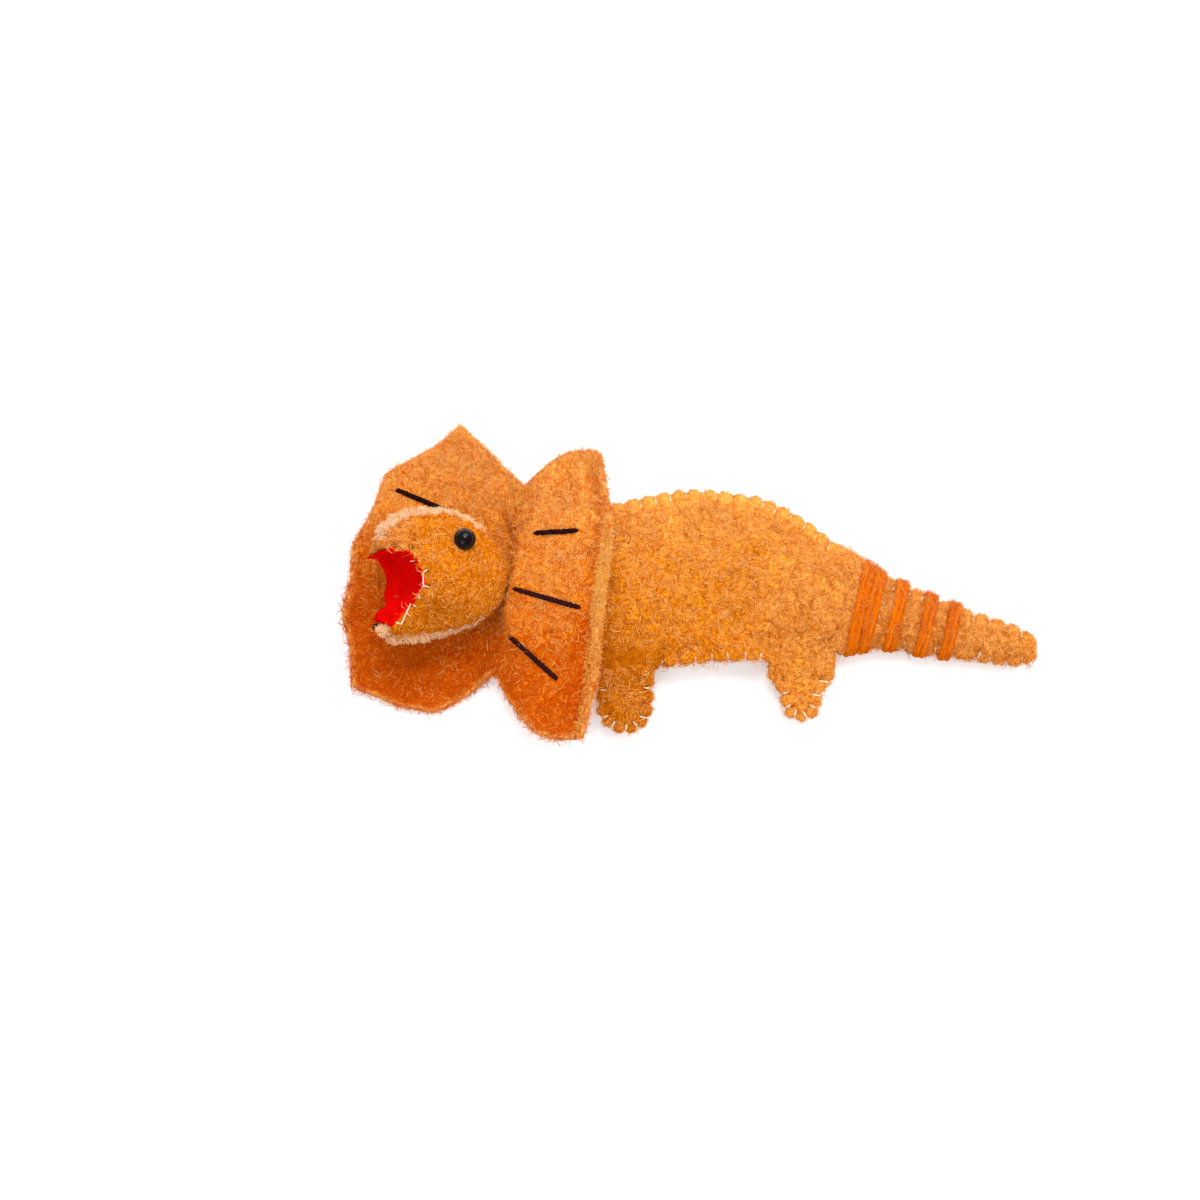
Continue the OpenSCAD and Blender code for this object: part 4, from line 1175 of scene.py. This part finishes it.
# %% Give the frill its thickness
def felt_sheet(name, cols, cut_start, cut_end, seed):
    """A lobe of thick felt, with its edge mask and each point's w and v."""
    grid, w, v = surface[:, cols], surface_w[:, cols], surface_v[:, cols]
    normals = sheet_normals(grid)
    if normals[len(grid) // 2, :, 2].mean() < 0:
        normals = -normals
    d = rim_distance(grid, cut_start, cut_end)
    round_off = (1 - np.clip(d / 0.7, 0, 1)) ** 2
    half = felt_t / 2 * np.sqrt(np.clip(1 - round_off * 0.9, 0.06, 1))
    flat = grid.reshape(-1, 3)
    wavy = (0.16 * lumps(flat, 3.0, seed) + 0.07 * lumps(flat, 1.0, seed + 9)).reshape(half.shape)
    points, faces = closed_sheet(grid + normals * (half + wavy)[..., None],
                                 grid - normals * (half - wavy * 0.6)[..., None])
    points[:, 2] = np.maximum(points[:, 2], 0.03)
    w, v = np.tile(w.ravel(), 2), np.tile(v.ravel(), 2)
    obj = make_mesh(name, *neck_hole(points, faces, w, v), frill_felt)
    obj.data.validate()
    return obj, np.tile(smooth_step(d, 1.5, 0.2).ravel(), 2), w, v

half_bend = NEAR_STEPS - 1 + BEND_STEPS // 2
near_cols, far_cols = slice(0, half_bend + 1), slice(half_bend, None)
frill_near, near_edge, near_w, near_v = felt_sheet("frill_near_felt", near_cols, True, False, 21)
frill_far, far_edge, far_w, far_v = felt_sheet("frill_far_felt", far_cols, False, True, 57)
print("frill felt:", len(frill_near.data.polygons), "and", len(frill_far.data.polygons), "faces")

# %% Paint the frill
# painted shade: the lower half of both lobes is deep orange, and so are the
# valley inside the near lobe's rim and the far lobe's outer lower part by the head;
# painted light: the upper half of both lobes is painted paler
rim_valley_shade = 0.6 * smooth_step(near_w, 12.2, 14.6) * smooth_step(near_w, 16.6, 15.0)
far_shade_patch = 0.5 * smooth_step(-far_w, 18, 26) * smooth_step(far_v, 10, 2)
paint(frill_near, "edge", np.maximum(near_edge, 0.45 * smooth_step(near_v, 3, 18)))
paint(frill_near, "deep", np.clip(0.9 * smooth_step(near_v, 4, -16) + rim_valley_shade, 0, 1))
paint(frill_far, "edge", np.maximum(0.7 * far_edge, 0.5 * smooth_step(far_v, 6, 22)))
paint(frill_far, "deep", np.clip(smooth_step(far_v, 4, -16) + far_shade_patch, 0, 1))
print("strip inside the rim:", int((rim_valley_shade > 0.3).sum()), "points")

# %% Where the frill folds
def on_fold(w, v, z):
    """The point w away from the fold and v along it."""
    return at(fold_x + lean_cos * w + lean_sin * v, -lean_sin * w + lean_cos * v, z)

moves["frill_near"] = ("neck", "frill_near", on_fold(0.3, 0, 4.3), on_fold(4.2, 0, 8.2))
moves["frill_far"] = ("neck", "frill_far", on_fold(0.3, 0, 4.3), on_fold(-4.0, 0, 0.9))

def sheet_area(obj):
    """Half of the closed sheet's surface, in square metres."""
    return sum(p.area for p in obj.data.polygons) / 2

FLAT = {"frill_near": (0.0240, 0.0560), "frill_far": (0.0350, 0.0575)}  # width and length, m
LOBES = {"frill_near": frill_near, "frill_far": frill_far}
for region, obj in LOBES.items():
    attach(obj, region)
    print(region, "area", round(sheet_area(obj) * 1e6), "mm2 of",
          round(math.prod(FLAT[region]) * 1e6))
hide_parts("frill_near", "frill_waist")
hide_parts("frill_far")

# %% [markdown]
# ## Spun thread
# Every thread here is spun from plies that wind round each other. One
# function follows a path with two or three thin tubes and lets them twist,
# and it serves the cream stitches, the dark ribs and the tail's yarn.

# %% Even steps and tubes
def length_along(path):
    return np.concatenate([[0], np.cumsum(np.linalg.norm(np.diff(path, axis=0), axis=1))])

def resample(path, step, closed=False):
    """The path again in even steps, with its corners rounded."""
    p = np.vstack([path, path[:1]]) if closed else np.asarray(path, float)
    s = length_along(p)
    keep = np.concatenate([[True], np.diff(s) > 1e-6])
    p, s = p[keep], s[keep]
    count = max(4, int(round(s[-1] / step)))
    places = np.linspace(0, s[-1], count + 1)
    out = np.stack([np.interp(places, s, p[:, k]) for k in range(3)], 1)
    if not closed:
        return evened(out, rounds=2)
    for _ in range(2):
        body = out[:-1]
        body = (np.roll(body, 1, 0) + 2 * body + np.roll(body, -1, 0)) / 4
        out = np.vstack([body, body[:1]])
    return out

print("a path of 10 mm has", len(resample([[0, 0, 0], [10, 0, 0]], 0.25)), "points")

# %% Tubes
def frame_along(path, across, closed):
    """Two directions square to the path at each point, the first one near `across`."""
    tangent = np.gradient(path, axis=0)
    if closed:
        tangent[0] = tangent[-1] = path[1] - path[-2]
    tangent = unit(tangent)
    a = unit(across - (across * tangent).sum(1, keepdims=True) * tangent)
    return a, np.cross(tangent, a)

def tube(path, radius, across, sides, closed):
    a, b = frame_along(path, across, closed)
    turn = np.linspace(0, 2 * np.pi, sides, endpoint=False)
    ring = (a[:, None] * np.cos(turn)[None, :, None]
            + b[:, None] * np.sin(turn)[None, :, None])
    return path[:, None] + ring * radius

def tube_faces(rows, sides, closed, start):
    """Faces of a tube of rings, with a cap on each end if it is open."""
    i, j = np.meshgrid(np.arange(rows if closed else rows - 1), np.arange(sides), indexing="ij")
    ring, next_ring, next_side = i * sides, (i + 1) % rows * sides, (j + 1) % sides
    faces = np.stack([ring + j, next_ring + j, next_ring + next_side, ring + next_side], -1)
    faces = (faces.reshape(-1, 4) + start).tolist()
    if not closed:
        faces.append([start + k for k in range(sides)])
        faces.append([start + (rows - 1) * sides + k for k in range(sides)][::-1])
    return faces

print("a tube of 10 rings with 6 sides has", len(tube_faces(10, 6, False, 0)), "faces")

# %% Spin plies along a path
def spin(paths, radius, plies=2, pitch=1.6, step=0.25, sides=6, ply_share=0.58):
    """paths: list of (points, across, closed). Returns points and faces of the plies."""
    points, faces, start = [], [], 0
    for path, across, closed in paths:
        line = resample(path, step, closed)
        s = length_along(line)
        turns = max(1, round(s[-1] / pitch)) if closed else s[-1] / pitch
        a, b = frame_along(line, np.broadcast_to(np.asarray(across, float), line.shape), closed)
        for ply in range(plies):
            phase = 2 * np.pi * (ply / plies + turns * s / s[-1])
            offset = a * np.cos(phase)[:, None] + b * np.sin(phase)[:, None]
            ring = tube(line + offset * radius * (1 - ply_share), radius * ply_share,
                        a, sides, closed)
            ring = ring[:-1] if closed else ring
            points.append(ring.reshape(-1, 3))
            faces += tube_faces(len(ring), sides, closed, start)
            start += len(ring) * sides
    return np.concatenate(points), faces

def thread_piece(name, points, faces, material, region, nodes):
    """Makes a piece of thread, attaches it to its region, and hides the solids that it stands for.
    """
    obj = make_mesh(name, points, faces, material)
    attach(obj, region)
    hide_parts(*nodes)

print("thread helpers ready")

# %% [markdown]
# ## Stitches that lie on the felt
# A staple from the solid model would float over the puffed edge. The real
# thread lies on the felt, so each stitch is found again by dropping rays on
# the skin: over the near face, round the edge and over the far face. Its two
# ends dive into the felt. Along the edge runs the purl, the thread that
# links one blanket stitch to the next.

# %% One stitch
UP = np.array([0, 0, 1.0])

def over_face(tree, s, sign, gap, foot, side, wander):
    """The part of a stitch that lies on one face, from where it dives in to the edge."""
    face = []
    for t in (1.0, 0.8, 0.55, 0.3):
        base = foot + s["heading"] * (0.15 + t * s["bite"] * s["reach"]) + side * wander * t
        top = foot[2] + sign * (s["half"] + 2.5)
        hit = land(tree, [base[0], base[1], top], [0, 0, -sign], gap)
        if hit is not None and abs(hit[2] - foot[2]) < s["half"] + face_reach:
            face.append(hit)
    if len(face) < 2:
        return None
    return [face[0] + s["heading"] * 0.25 - UP * sign * 0.7] + face

def stitch_path(tree, s, gap, wander):
    """Over the near face, round the edge and over the far face."""
    side = np.cross(UP, s["heading"])
    foot = s["edge"] + side * wander
    near, far = (over_face(tree, s, sign, gap, foot, side, wander) for sign in (1, -1))
    if near is None or far is None:
        return None
    rim = []
    for t in (0.55, 0.0, -0.55):
        base = foot - s["heading"] * 3 + UP * t * s["half"]
        hit = land(tree, base, s["heading"], gap)
        if hit is not None and np.linalg.norm(hit - foot) < 3:
            rim.append(hit)
    return np.array(near + rim + far[::-1]), side, (rim[len(rim) // 2] if rim else None)

print("one stitch:", len(stitch_path(whole_tree, stitches["back_seam_thread"][5], 0.1, 0)[0]),
      "points")

# %% The purl
longest_link = 4.6  # two stitches further apart than this aren't linked

def purl_path(tree, start, end, radius):
    """The thread along the edge from one stitch to the next, or None where it is too far."""
    (p, heading_p), (q, heading_q) = start, end
    if p is None or q is None or np.linalg.norm(p - q) > longest_link:
        return None
    link = [p]
    for t in (0.25, 0.5, 0.75):
        h = heading_p * (1 - t) + heading_q * t
        h /= np.linalg.norm(h)
        hit = land(tree, p * (1 - t) + q * t - h * 2, h, radius * 0.4)
        if hit is not None and np.linalg.norm(hit - (p + q) / 2) < 2.6:
            link.append(hit)
    return np.array(link + [q]) if len(link) > 2 else None

print("the purl links stitches up to", longest_link, "mm apart")

# %% Lay the stitches
def lay_stitches(name, nodes, tree, region, turn=np.eye(3), shift=0.0,
                 purl=True, seed=1, shown=0.5, proud=0.7, radius=0.15):
    """shown is the share of stitches that lie on the felt, proud is how high they lie in
    thread radii, and the others have sunk into the felt."""
    rng = np.random.default_rng(seed)
    paths = []
    for node in nodes:
        rims = []
        for s in stitches.get(node) or hems[node]:
            gap = radius * proud if rng.random() < shown else -radius * rng.uniform(0.3, 1.4)
            made = stitch_path(tree, s, gap, rng.uniform(-0.25, 0.25))
            if made is None:
                continue
            path, side, rim = made
            paths.append((path, side, False))
            rims.append((rim, s["heading"]))
        if purl:
            links = (purl_path(tree, a, b, radius) for a, b in zip(rims, rims[1:]))
            paths += [(link, UP, False) for link in links if link is not None]
    points, faces = spin(paths, radius, plies=2, pitch=0.9, step=0.16, sides=5)
    points = points @ turn.T + shift
    points[:, 2] = np.maximum(points[:, 2], 0.02)
    thread_piece(name, points, faces, cream_thread, region, nodes)
    print(name, len(paths), "threads")

lay_stitches("body_stitches", ("back_seam_thread", "chest_seam_thread"), whole_tree, "body")
lay_stitches("hem_stitches", tuple(hems), whole_tree, "body", purl=False, seed=2, shown=0.8)
for region, node, seed, shown, proud in (("front_leg", "front_leg_thread", 3, 0.75, 2.2),
                                         ("hind_leg", "hind_leg_thread", 4, 0.85, 2.2),
                                         ("tail_root", "tail_base_thread", 5, 0.7, 1.8),
                                         ("tail_end", "tail_tip_thread", 6, 0.8, 1.8)):
    lay_stitches(region + "_stitches", (node,), whole_tree, region,
                 seed=seed, shown=shown, proud=proud)
lay_stitches("head_stitches", head_seams, head_tree, "head", head_turn, head_shift,
             seed=7, shown=0.3)

# %% [markdown]
# ## Lips
# A cream thread holds the red lining to the lips. Along the lower jaw it
# runs on the lip in small steps, with a short stitch across at each step.
# Along the upper jaw it has sunk into the felt, and only a few of its short
# stitches show. The stitches stand where the solid model has them.

# %% Lip threads
def lip_place(s, sign):
    """The first place inwards from the lip's edge where the cheek is under the needle."""
    for inwards in (0.15, 0.3, 0.45, 0.6, 0.8):
        x, y = (s["edge"] + s["heading"] * inwards)[:2]
        hit = land(head_tree, [x, y, sign * 14], [0, 0, -sign], 0.1)
        if hit is not None and hit[2] * sign > 1:
            return hit
    return None

def lip_threads(name, node, sign):
    rng = np.random.default_rng(31)
    paths, run = [], []
    for s in sorted(stitches[node], key=lambda s: s["middle"][1]):
        hit = lip_place(s, sign)
        if hit is None:
            continue
        upper = s["middle"][1] > 1.5
        run.append((hit, upper))
        if upper and rng.random() < 0.4:
            continue
        length = rng.uniform(0.5, 1.2) * (0.6 if upper else 1)
        tip = hit + s["heading"] * length + np.array([0, rng.uniform(-0.35, 0.35), 0])
        far = land(head_tree, [tip[0], tip[1], sign * 14], [0, 0, -sign],
                   -0.1 if upper else 0.07)
        if far is not None:
            path = [hit, (hit + far) / 2 + [0, 0, sign * 0.08], far, far - [0, 0, sign * 0.5]]
            paths.append((np.array(path), np.cross(UP, s["heading"]), False))
    for (p, _), (q, upper) in zip(run, run[1:]):
        if not upper and np.linalg.norm(p - q) < 5:
            paths.append((np.array([p, (p + q) / 2 + [0, 0, sign * 0.12], q]), UP, False))
    points, faces = spin(paths, 0.13, plies=2, pitch=0.7, step=0.15, sides=5)
    thread_piece(name, from_head(points), faces, cream_thread, "head", (node,))
    print(name, len(paths), "threads")

lip_threads("near_lip_threads", "mouth_near_thread", 1)
lip_threads("far_lip_threads", "mouth_far_thread", -1)

# %% [markdown]
# ## Ribs of the frill
# Each rib is one long stitch of thick dark thread. It lies on the felt and
# dives in at both ends. Rays from above find the felt under it.

# %% Ribs
# start and end of each rib: place along the lobe, share of its depth
NEAR_RIBS = [((0.35, 0.16), (0.41, 0.56)), ((-0.05, 0.05), (-0.105, 0.70)),
             ((-0.38, 0.08), (-0.61, 0.59))]
FAR_RIBS = [((0.41, 0.45), (0.5, 0.78)), ((0.02, 0.5), (0.03, 0.87)),
            ((-0.32, 0.45), (-0.46, 0.79))]

def rib_path(tree, start, end, depth):
    (v0, w0), (v1, w1) = start, end
    path = []
    for t in np.linspace(0, 1, 14):
        place = on_fold(depth * (w0 + (w1 - w0) * t), (v0 + (v1 - v0) * t) * frill_len / 2, 0)
        rise = 0.26 * math.sin(math.pi * t) ** 0.4 - 0.1
        hit = land(tree, [place[0] / MM, place[1] / MM, 30], [0, 0, -1], rise)
        if hit is not None:
            path.append(hit)
    first = path[0] + (path[0] - path[1]) * 0.3
    last = path[-1] + (path[-1] - path[-2]) * 0.3
    return np.array([first - [0, 0, 0.8], *path, last - [0, 0, 0.8]])

def lay_ribs(name, ribs, depth, region, node):
    tree = tree_of(LOBES[region])
    paths = [(rib_path(tree, start, end, depth), UP, False) for start, end in ribs]
    points, faces = spin(paths, 0.5, plies=3, pitch=2.6, step=0.2, sides=8)
    thread_piece(name, points, faces, rib_thread, region, (node,))
    print(name, len(paths), "ribs")

lay_ribs("frill_near_rib_threads", NEAR_RIBS, near_depth, "frill_near", "frill_near_ribs")
lay_ribs("frill_far_rib_threads", FAR_RIBS, -far_depth, "frill_far", "frill_far_ribs")

# %% [markdown]
# ## Yarn round the tail
# Bands of soft orange yarn are wound tight round the tail. The yarn is
# hardly twisted, so each turn is a bundle of thin strands. It leans a
# little, because it was wound on in one go from root to tip.

# %% Turns of yarn
yarn_d, band_lean = 2.1, math.radians(12)
first_turn = 3.54
# how far beyond the tail's root each turn lies
TURNS = {"tail_band_1": (first_turn, first_turn + yarn_d + 0.06), "tail_band_2": (10.1,),
         "tail_band_3": (15.59,), "tail_band_4": (20.05,)}

def wound(along, shift):
    """One turn round the tail. The tail's section is nearly flat, so the path is too."""
    x0 = tail_x0 + along
    lean = math.tan(band_lean) * float(tail_half_h(x0))
    a = np.linspace(0, 2 * np.pi, 72, endpoint=False)
    c, s = (np.sign(v) * np.abs(v) ** 0.8 for v in (np.cos(a), np.sin(a)))
    x = x0 + shift + lean * c
    return np.stack([x, tail_y(x) + (tail_half_h(x) + 0.1) * c,
                     tail_z(x) + (tail_half_gap(x) + felt_t - 0.1) * s], 1)

print("first turn round the tail:", round(float(length_along(wound(first_turn, 0))[-1]), 1), "mm")

# %% Wind the yarn
for band, turns in TURNS.items():
    paths = [(wound(along, shift), np.array([1.0, 0, 0]), True)
             for along in turns for shift in (-0.5, 0.5)]
    points, faces = spin(paths, 0.68, plies=30, pitch=26, step=0.35, sides=4, ply_share=0.20)
    points += np.stack([0.13 * lumps(points, 0.6, k * 9.0) + 0.16 * lumps(points, 3.0, k * 5.0)
                        for k in range(3)], 1)
    points[:, 2] = np.maximum(points[:, 2], 0.02)
    yarn = make_mesh(band + "_yarn", points, faces, yarn_wool)
    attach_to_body(yarn, "tail_base")
    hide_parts(band)
print("yarn bands:", len(TURNS))

# %% [markdown]
# ## Loose fibres
# What makes felt look like felt is the fibre that has worked loose. Each
# fibre starts at a random place, lies on the felt in a curl, and comes up in
# the middle or at one end. They are real hairs, thin tubes with three sides,
# so they also show at the outline. They lie in patches. Under the painted
# shade pale ones are few and deep orange ones are many. Fuzz follows the
# edge paint, so it grows on cut edges and in the painted light on the tops,
# and hardly any fibres grow in a needle hole.
#
# Blender's hair could do this too, but these are plain meshes. The random
# numbers have fixed seeds.

# %% Where fibres grow
PALE, DEEP = (1.05, -0.95), (0.35, 0.65)  # how many on plain felt, and the change under the painted shade

def read_paint(mesh, name):
    value = np.empty(len(mesh.vertices), np.float32)
    mesh.attributes[name].data.foreach_get("value", value)
    return value

def fibre_roots(rng, felt_obj, count, seed, where, on, deep, patchy):
    """Random places on the felt, each with the felt's normal there."""
    mesh = felt_obj.data
    mesh.calc_loop_triangles()
    tri = np.empty(len(mesh.loop_triangles) * 3, np.int32)
    mesh.loop_triangles.foreach_get("vertices", tri)
    tri = tri.reshape(-1, 3)
    points = points_of(felt_obj)
    a, b, c = (points[tri[:, k]] for k in range(3))
    normal = unit(normals_of(felt_obj)[tri].mean(1))
    centre = (a + b + c) / 3
    weight = np.linalg.norm(np.cross(b - a, c - a), axis=1)
    weight = weight * (where(centre, normal) if where else 1.0)
    weight *= 1 + patchy * (smooth_step(lumps(centre, 5.0, seed * 0.37), -1.1, 0.7) - 0.75)
    # fewer pale and more deep fibres under the painted shade, fuzz where the edge paint (cut edges
    # and painted light) is strong, none in needle holes
    masks = (("deep", lambda v: deep[0] + deep[1] * v),
             (on, lambda v: smooth_step(v / v.max(), 0.5, 1)),
             ("hole", lambda v: 1 - 0.95 * smooth_step(v, 0.08, 0.4)))
    for layer, keep in masks:
        if layer and layer in mesh.attributes:
            weight = weight * keep(read_paint(mesh, layer)[tri].mean(1))
    pick = rng.choice(len(tri), count, p=weight / weight.sum())
    u, v = rng.random((2, count, 1))
    u, v = np.where(u + v > 1, 1 - u, u), np.where(u + v > 1, 1 - v, v)
    return a[pick] + (b - a)[pick] * u + (c - a)[pick] * v, normal[pick]

print("pale fibres thin out to", round(sum(PALE), 2), "on pressed felt")

# %% How one fibre lies
STEPS = 5

def fibre_paths(rng, start, n, length, loose, lift, curl, comb):
    """A curl of STEPS points on the felt for each root."""
    count = len(start)
    side = np.cross(n, rng.normal(size=(count, 3)))
    if comb is not None:
        side = np.array(comb) + 0.25 * side
        side -= n * (side * n).sum(1, keepdims=True)
    side = unit(side)
    other = np.cross(n, side)
    # a fibre on a rounded edge is short, or it would stand off like a thorn
    flat = 0.45 + 0.55 * smooth_step(np.abs(n[:, 2:]), 0.5, 0.95)
    step = rng.uniform(*length, (count, 1)) * flat / (STEPS - 1)
    turns = rng.normal(0, curl, (count, 1)) + np.cumsum(rng.normal(0, 0.35, (count, STEPS)), 1)
    heading = np.cumsum(turns * step, 1)
    x, y = np.cumsum(np.cos(heading), 1) * step, np.cumsum(np.sin(heading), 1) * step
    t = np.linspace(0, 1, STEPS)[None]
    up = rng.random((count, 1)) < loose
    height = np.where(up, rng.uniform(0.2, 0.75, (count, 1)) * t ** 1.6,
                      lift * rng.uniform(0.3, 1.2, (count, 1)) * np.sin(np.pi * t) + 0.01)
    paths = (start[:, None] + side[:, None] * x[..., None] + other[:, None] * y[..., None]
             + n[:, None] * height[..., None])
    paths[..., 2] = np.maximum(paths[..., 2], 0.05)
    return paths

print("each fibre is a path of", STEPS, "points")

# %% Thin tubes for the fibres
TAPER = np.array([[0.5, 1, 1, 0.9, 0.3]])  # thickness at each of a fibre's points
THIRDS = np.array([0, 2.0944, 4.18879])  # of a full turn

def hairs(rng, paths, radius):
    """A thin tube with three sides round each path: points and faces."""
    count = len(paths)
    tangent = unit(np.gradient(paths, axis=1))
    s1 = unit(np.cross(tangent, rng.normal(size=(count, 1, 3))))
    s2 = np.cross(tangent, s1)
    thick = radius * rng.uniform(0.75, 1.35, (count, 1)) * TAPER
    turn = THIRDS[None, None, :, None]
    ring = paths[:, :, None] + thick[:, :, None, None] * (s1[:, :, None] * np.cos(turn)
                                                          + s2[:, :, None] * np.sin(turn))
    i, j = np.meshgrid(np.arange(STEPS - 1), np.arange(3), indexing="ij")
    after = (j + 1) % 3
    one = np.stack([i * 3 + j, (i + 1) * 3 + j, (i + 1) * 3 + after, i * 3 + after], -1)
    faces = one.reshape(1, -1, 4) + (np.arange(count) * STEPS * 3)[:, None, None]
    return ring.reshape(-1, 3), faces.reshape(-1, 4)

print("a fibre is", len(THIRDS) * (STEPS - 1), "faces")

# %% Grow fibres
def slot_of(name):
    for part, slot in (("yarn", "yarn"), ("red", "red_felt"), ("frill", "frill_felt")):
        if part in name:
            return slot
    return "felt"

def grow(name, felt_obj, count, region, material, seed, length=(1.0, 2.8), loose=0.04, lift=0.12,
         radius=0.042, where=None, on=None, curl=0.9, comb=None, deep=PALE, patchy=1.0):
    """where weighs each place on the felt; `on` names a painted mask that the fibres follow."""
    rng = np.random.default_rng(seed)
    count = int(count * (1.0))
    start, n = fibre_roots(rng, felt_obj, count, seed, where, on, deep, patchy)
    paths = fibre_paths(rng, start, n, length, loose, lift, curl, comb)
    obj = make_mesh(name, *hairs(rng, paths, radius), material)
    attach(obj, region)
    slot_of(name)
    return obj

def outside(centre, normal):
    """Most on top and at the edges, fewer underneath, none in the pocket for the finger."""
    weight = np.where(normal[:, 2] > 0.2, 1.0, np.where(normal[:, 2] > -0.3, 0.9, 0.35))
    pocket = ((centre[:, 0] < tail_x0 - 1) & (np.abs(centre[:, 2] - mid_z) < 2.35)
              & (np.abs(normal[:, 2]) > 0.35))
    return np.where(pocket, 0.0, weight)

def on_top(centre, normal):
    return np.where(normal[:, 2] > 0.0, 1.0, 0.3)

print("fibres for", len(felt_parts), "felt parts, the head, the frill and the yarn")

# %% Fibres of body, legs and tail
# edge fuzz follows the edge paint: cut edges, and the painted light on the tops
FUZZ = {"length": (0.4, 1.1), "loose": 0.5, "on": "edge", "radius": 0.026}
body = felt_parts["body_felt"]
for k, (material, deep) in enumerate(((pale_fibre, PALE), (deep_fibre, DEEP), (pale_fibre, PALE))):
    grow(f"body_fibres_{k + 1}", body, 6500, "body", material, 100 + k, where=outside, deep=deep)
grow("body_edge_fuzz", body, 4000, "body", pale_fibre, 104, where=outside, **FUZZ)
for name, count in (("front_leg", 1100), ("hind_leg", 1000),
                    ("tail_root", 2300), ("tail_end", 1900)):
    part = felt_parts[name + "_felt"]
    place, length = (on_top, (0.6, 1.6)) if "leg" in name else (outside, (1.0, 2.8))
    grow(f"{name}_fibres", part, count, name, pale_fibre, 110 + count, where=place, length=length)
    grow(f"{name}_fibres_deep", part, count // 2, name, deep_fibre, 210 + count,
         where=place, length=length, deep=DEEP)
    grow(f"{name}_edge_fuzz", part, count, name, pale_fibre, 310 + count, **FUZZ)
print("fibres on body, legs and tail")

# %% Fibres of the head
def outside_mouth(centre, normal):
    """None on the mouth's inside, where they would poke through the red lining."""
    (x, y, _), (nx, ny, _) = to_head(centre).T, (normal @ head_turn).T
    inside = (nx < -0.45) & (x > -11.5) & (y > -8.5) & (y < 6)
    under_upper_jaw = (ny < -0.5) & (y > 3) & (x < -5)
    return np.where(inside | under_upper_jaw, 0.0, 1.0)

def head_rim(centre, normal):
    """The pale band along the crown and the chin, but not in the mouth or at the neck."""
    c = to_head(centre)
    front = np.maximum(smooth_step(c[:, 0], -8, -6), smooth_step(np.abs(c[:, 1]), 7, 8.5))
    return (seam_band(c, normal @ head_turn) * front * smooth_step(c[:, 0], 8.5, 6.5)) + 1e-6

grow("head_fibres_1", head, 4200, "head", pale_fibre, 130,
     length=(0.7, 2.0), where=outside_mouth, deep=PALE)
grow("head_fibres_2", head, 4500, "head", deep_fibre, 131,
     length=(0.7, 2.0), where=outside_mouth, deep=DEEP)
grow("head_rim_fuzz", head, 8000, "head", rim_fibre, 140, length=(0.4, 1.1), loose=0.3, lift=0.2,
     where=head_rim, patchy=0.2)
print("fibres on the head")

# %% Fibres of the frill
for region, count in (("frill_near", 5000), ("frill_far", 6500)):
    for k, (material, deep) in enumerate(((pale_fibre, PALE), (rust_fibre, DEEP))):
        grow(f"{region}_fibres_{k + 1}", LOBES[region], count, region, material, 150 + k,
             where=on_top, deep=deep)
    grow(region + "_edge_fuzz", LOBES[region], 4000, region, pale_fibre, 165, **FUZZ)

def near_rim(centre, normal):
    """The near lobe's turned-up rim."""
    w = (centre[:, 0] - fold_x) * lean_cos - centre[:, 1] * lean_sin
    return smooth_step(w, 15.2, 16.4) * (normal[:, 2] > -0.4) + 1e-6

grow("frill_near_rim_fuzz", frill_near, 3500, "frill_near", near_rim_fibre, 170,
     length=(0.4, 1.2), loose=0.3, where=near_rim, patchy=0.2)
print("fibres on the frill")

# %% Fuzz on the lining and the yarn
grow("mouth_red_fibres", lining, 900, "head", red_fibre, 180, length=(0.5, 1.3), lift=0.08)
for band in TURNS:
    count = 5000 if band == "tail_band_1" else 2500
    grow(band + "_yarn_fuzz", bpy.data.objects[band + "_yarn"], count, "tail_base", yarn_fibre,
         190, length=(0.8, 2.4), lift=0.16, loose=0.25, curl=0.6, radius=0.034, comb=(0.2, 1, 0))
print("fuzz on lining and yarn")

# %% [markdown]
# The frill's two lobes are sheets of felt. Their flat areas are measured on
# the finished mesh. The size of the solid model is printed.

# %% Sheets and sizes
for region, obj in LOBES.items():
    width, length = FLAT[region]
    min(sheet_area(obj), width * length)

def as_list(box):
    return [[round(float(c), 5) for c in corner] for corner in box]

print("solid model", as_list(cad_box))
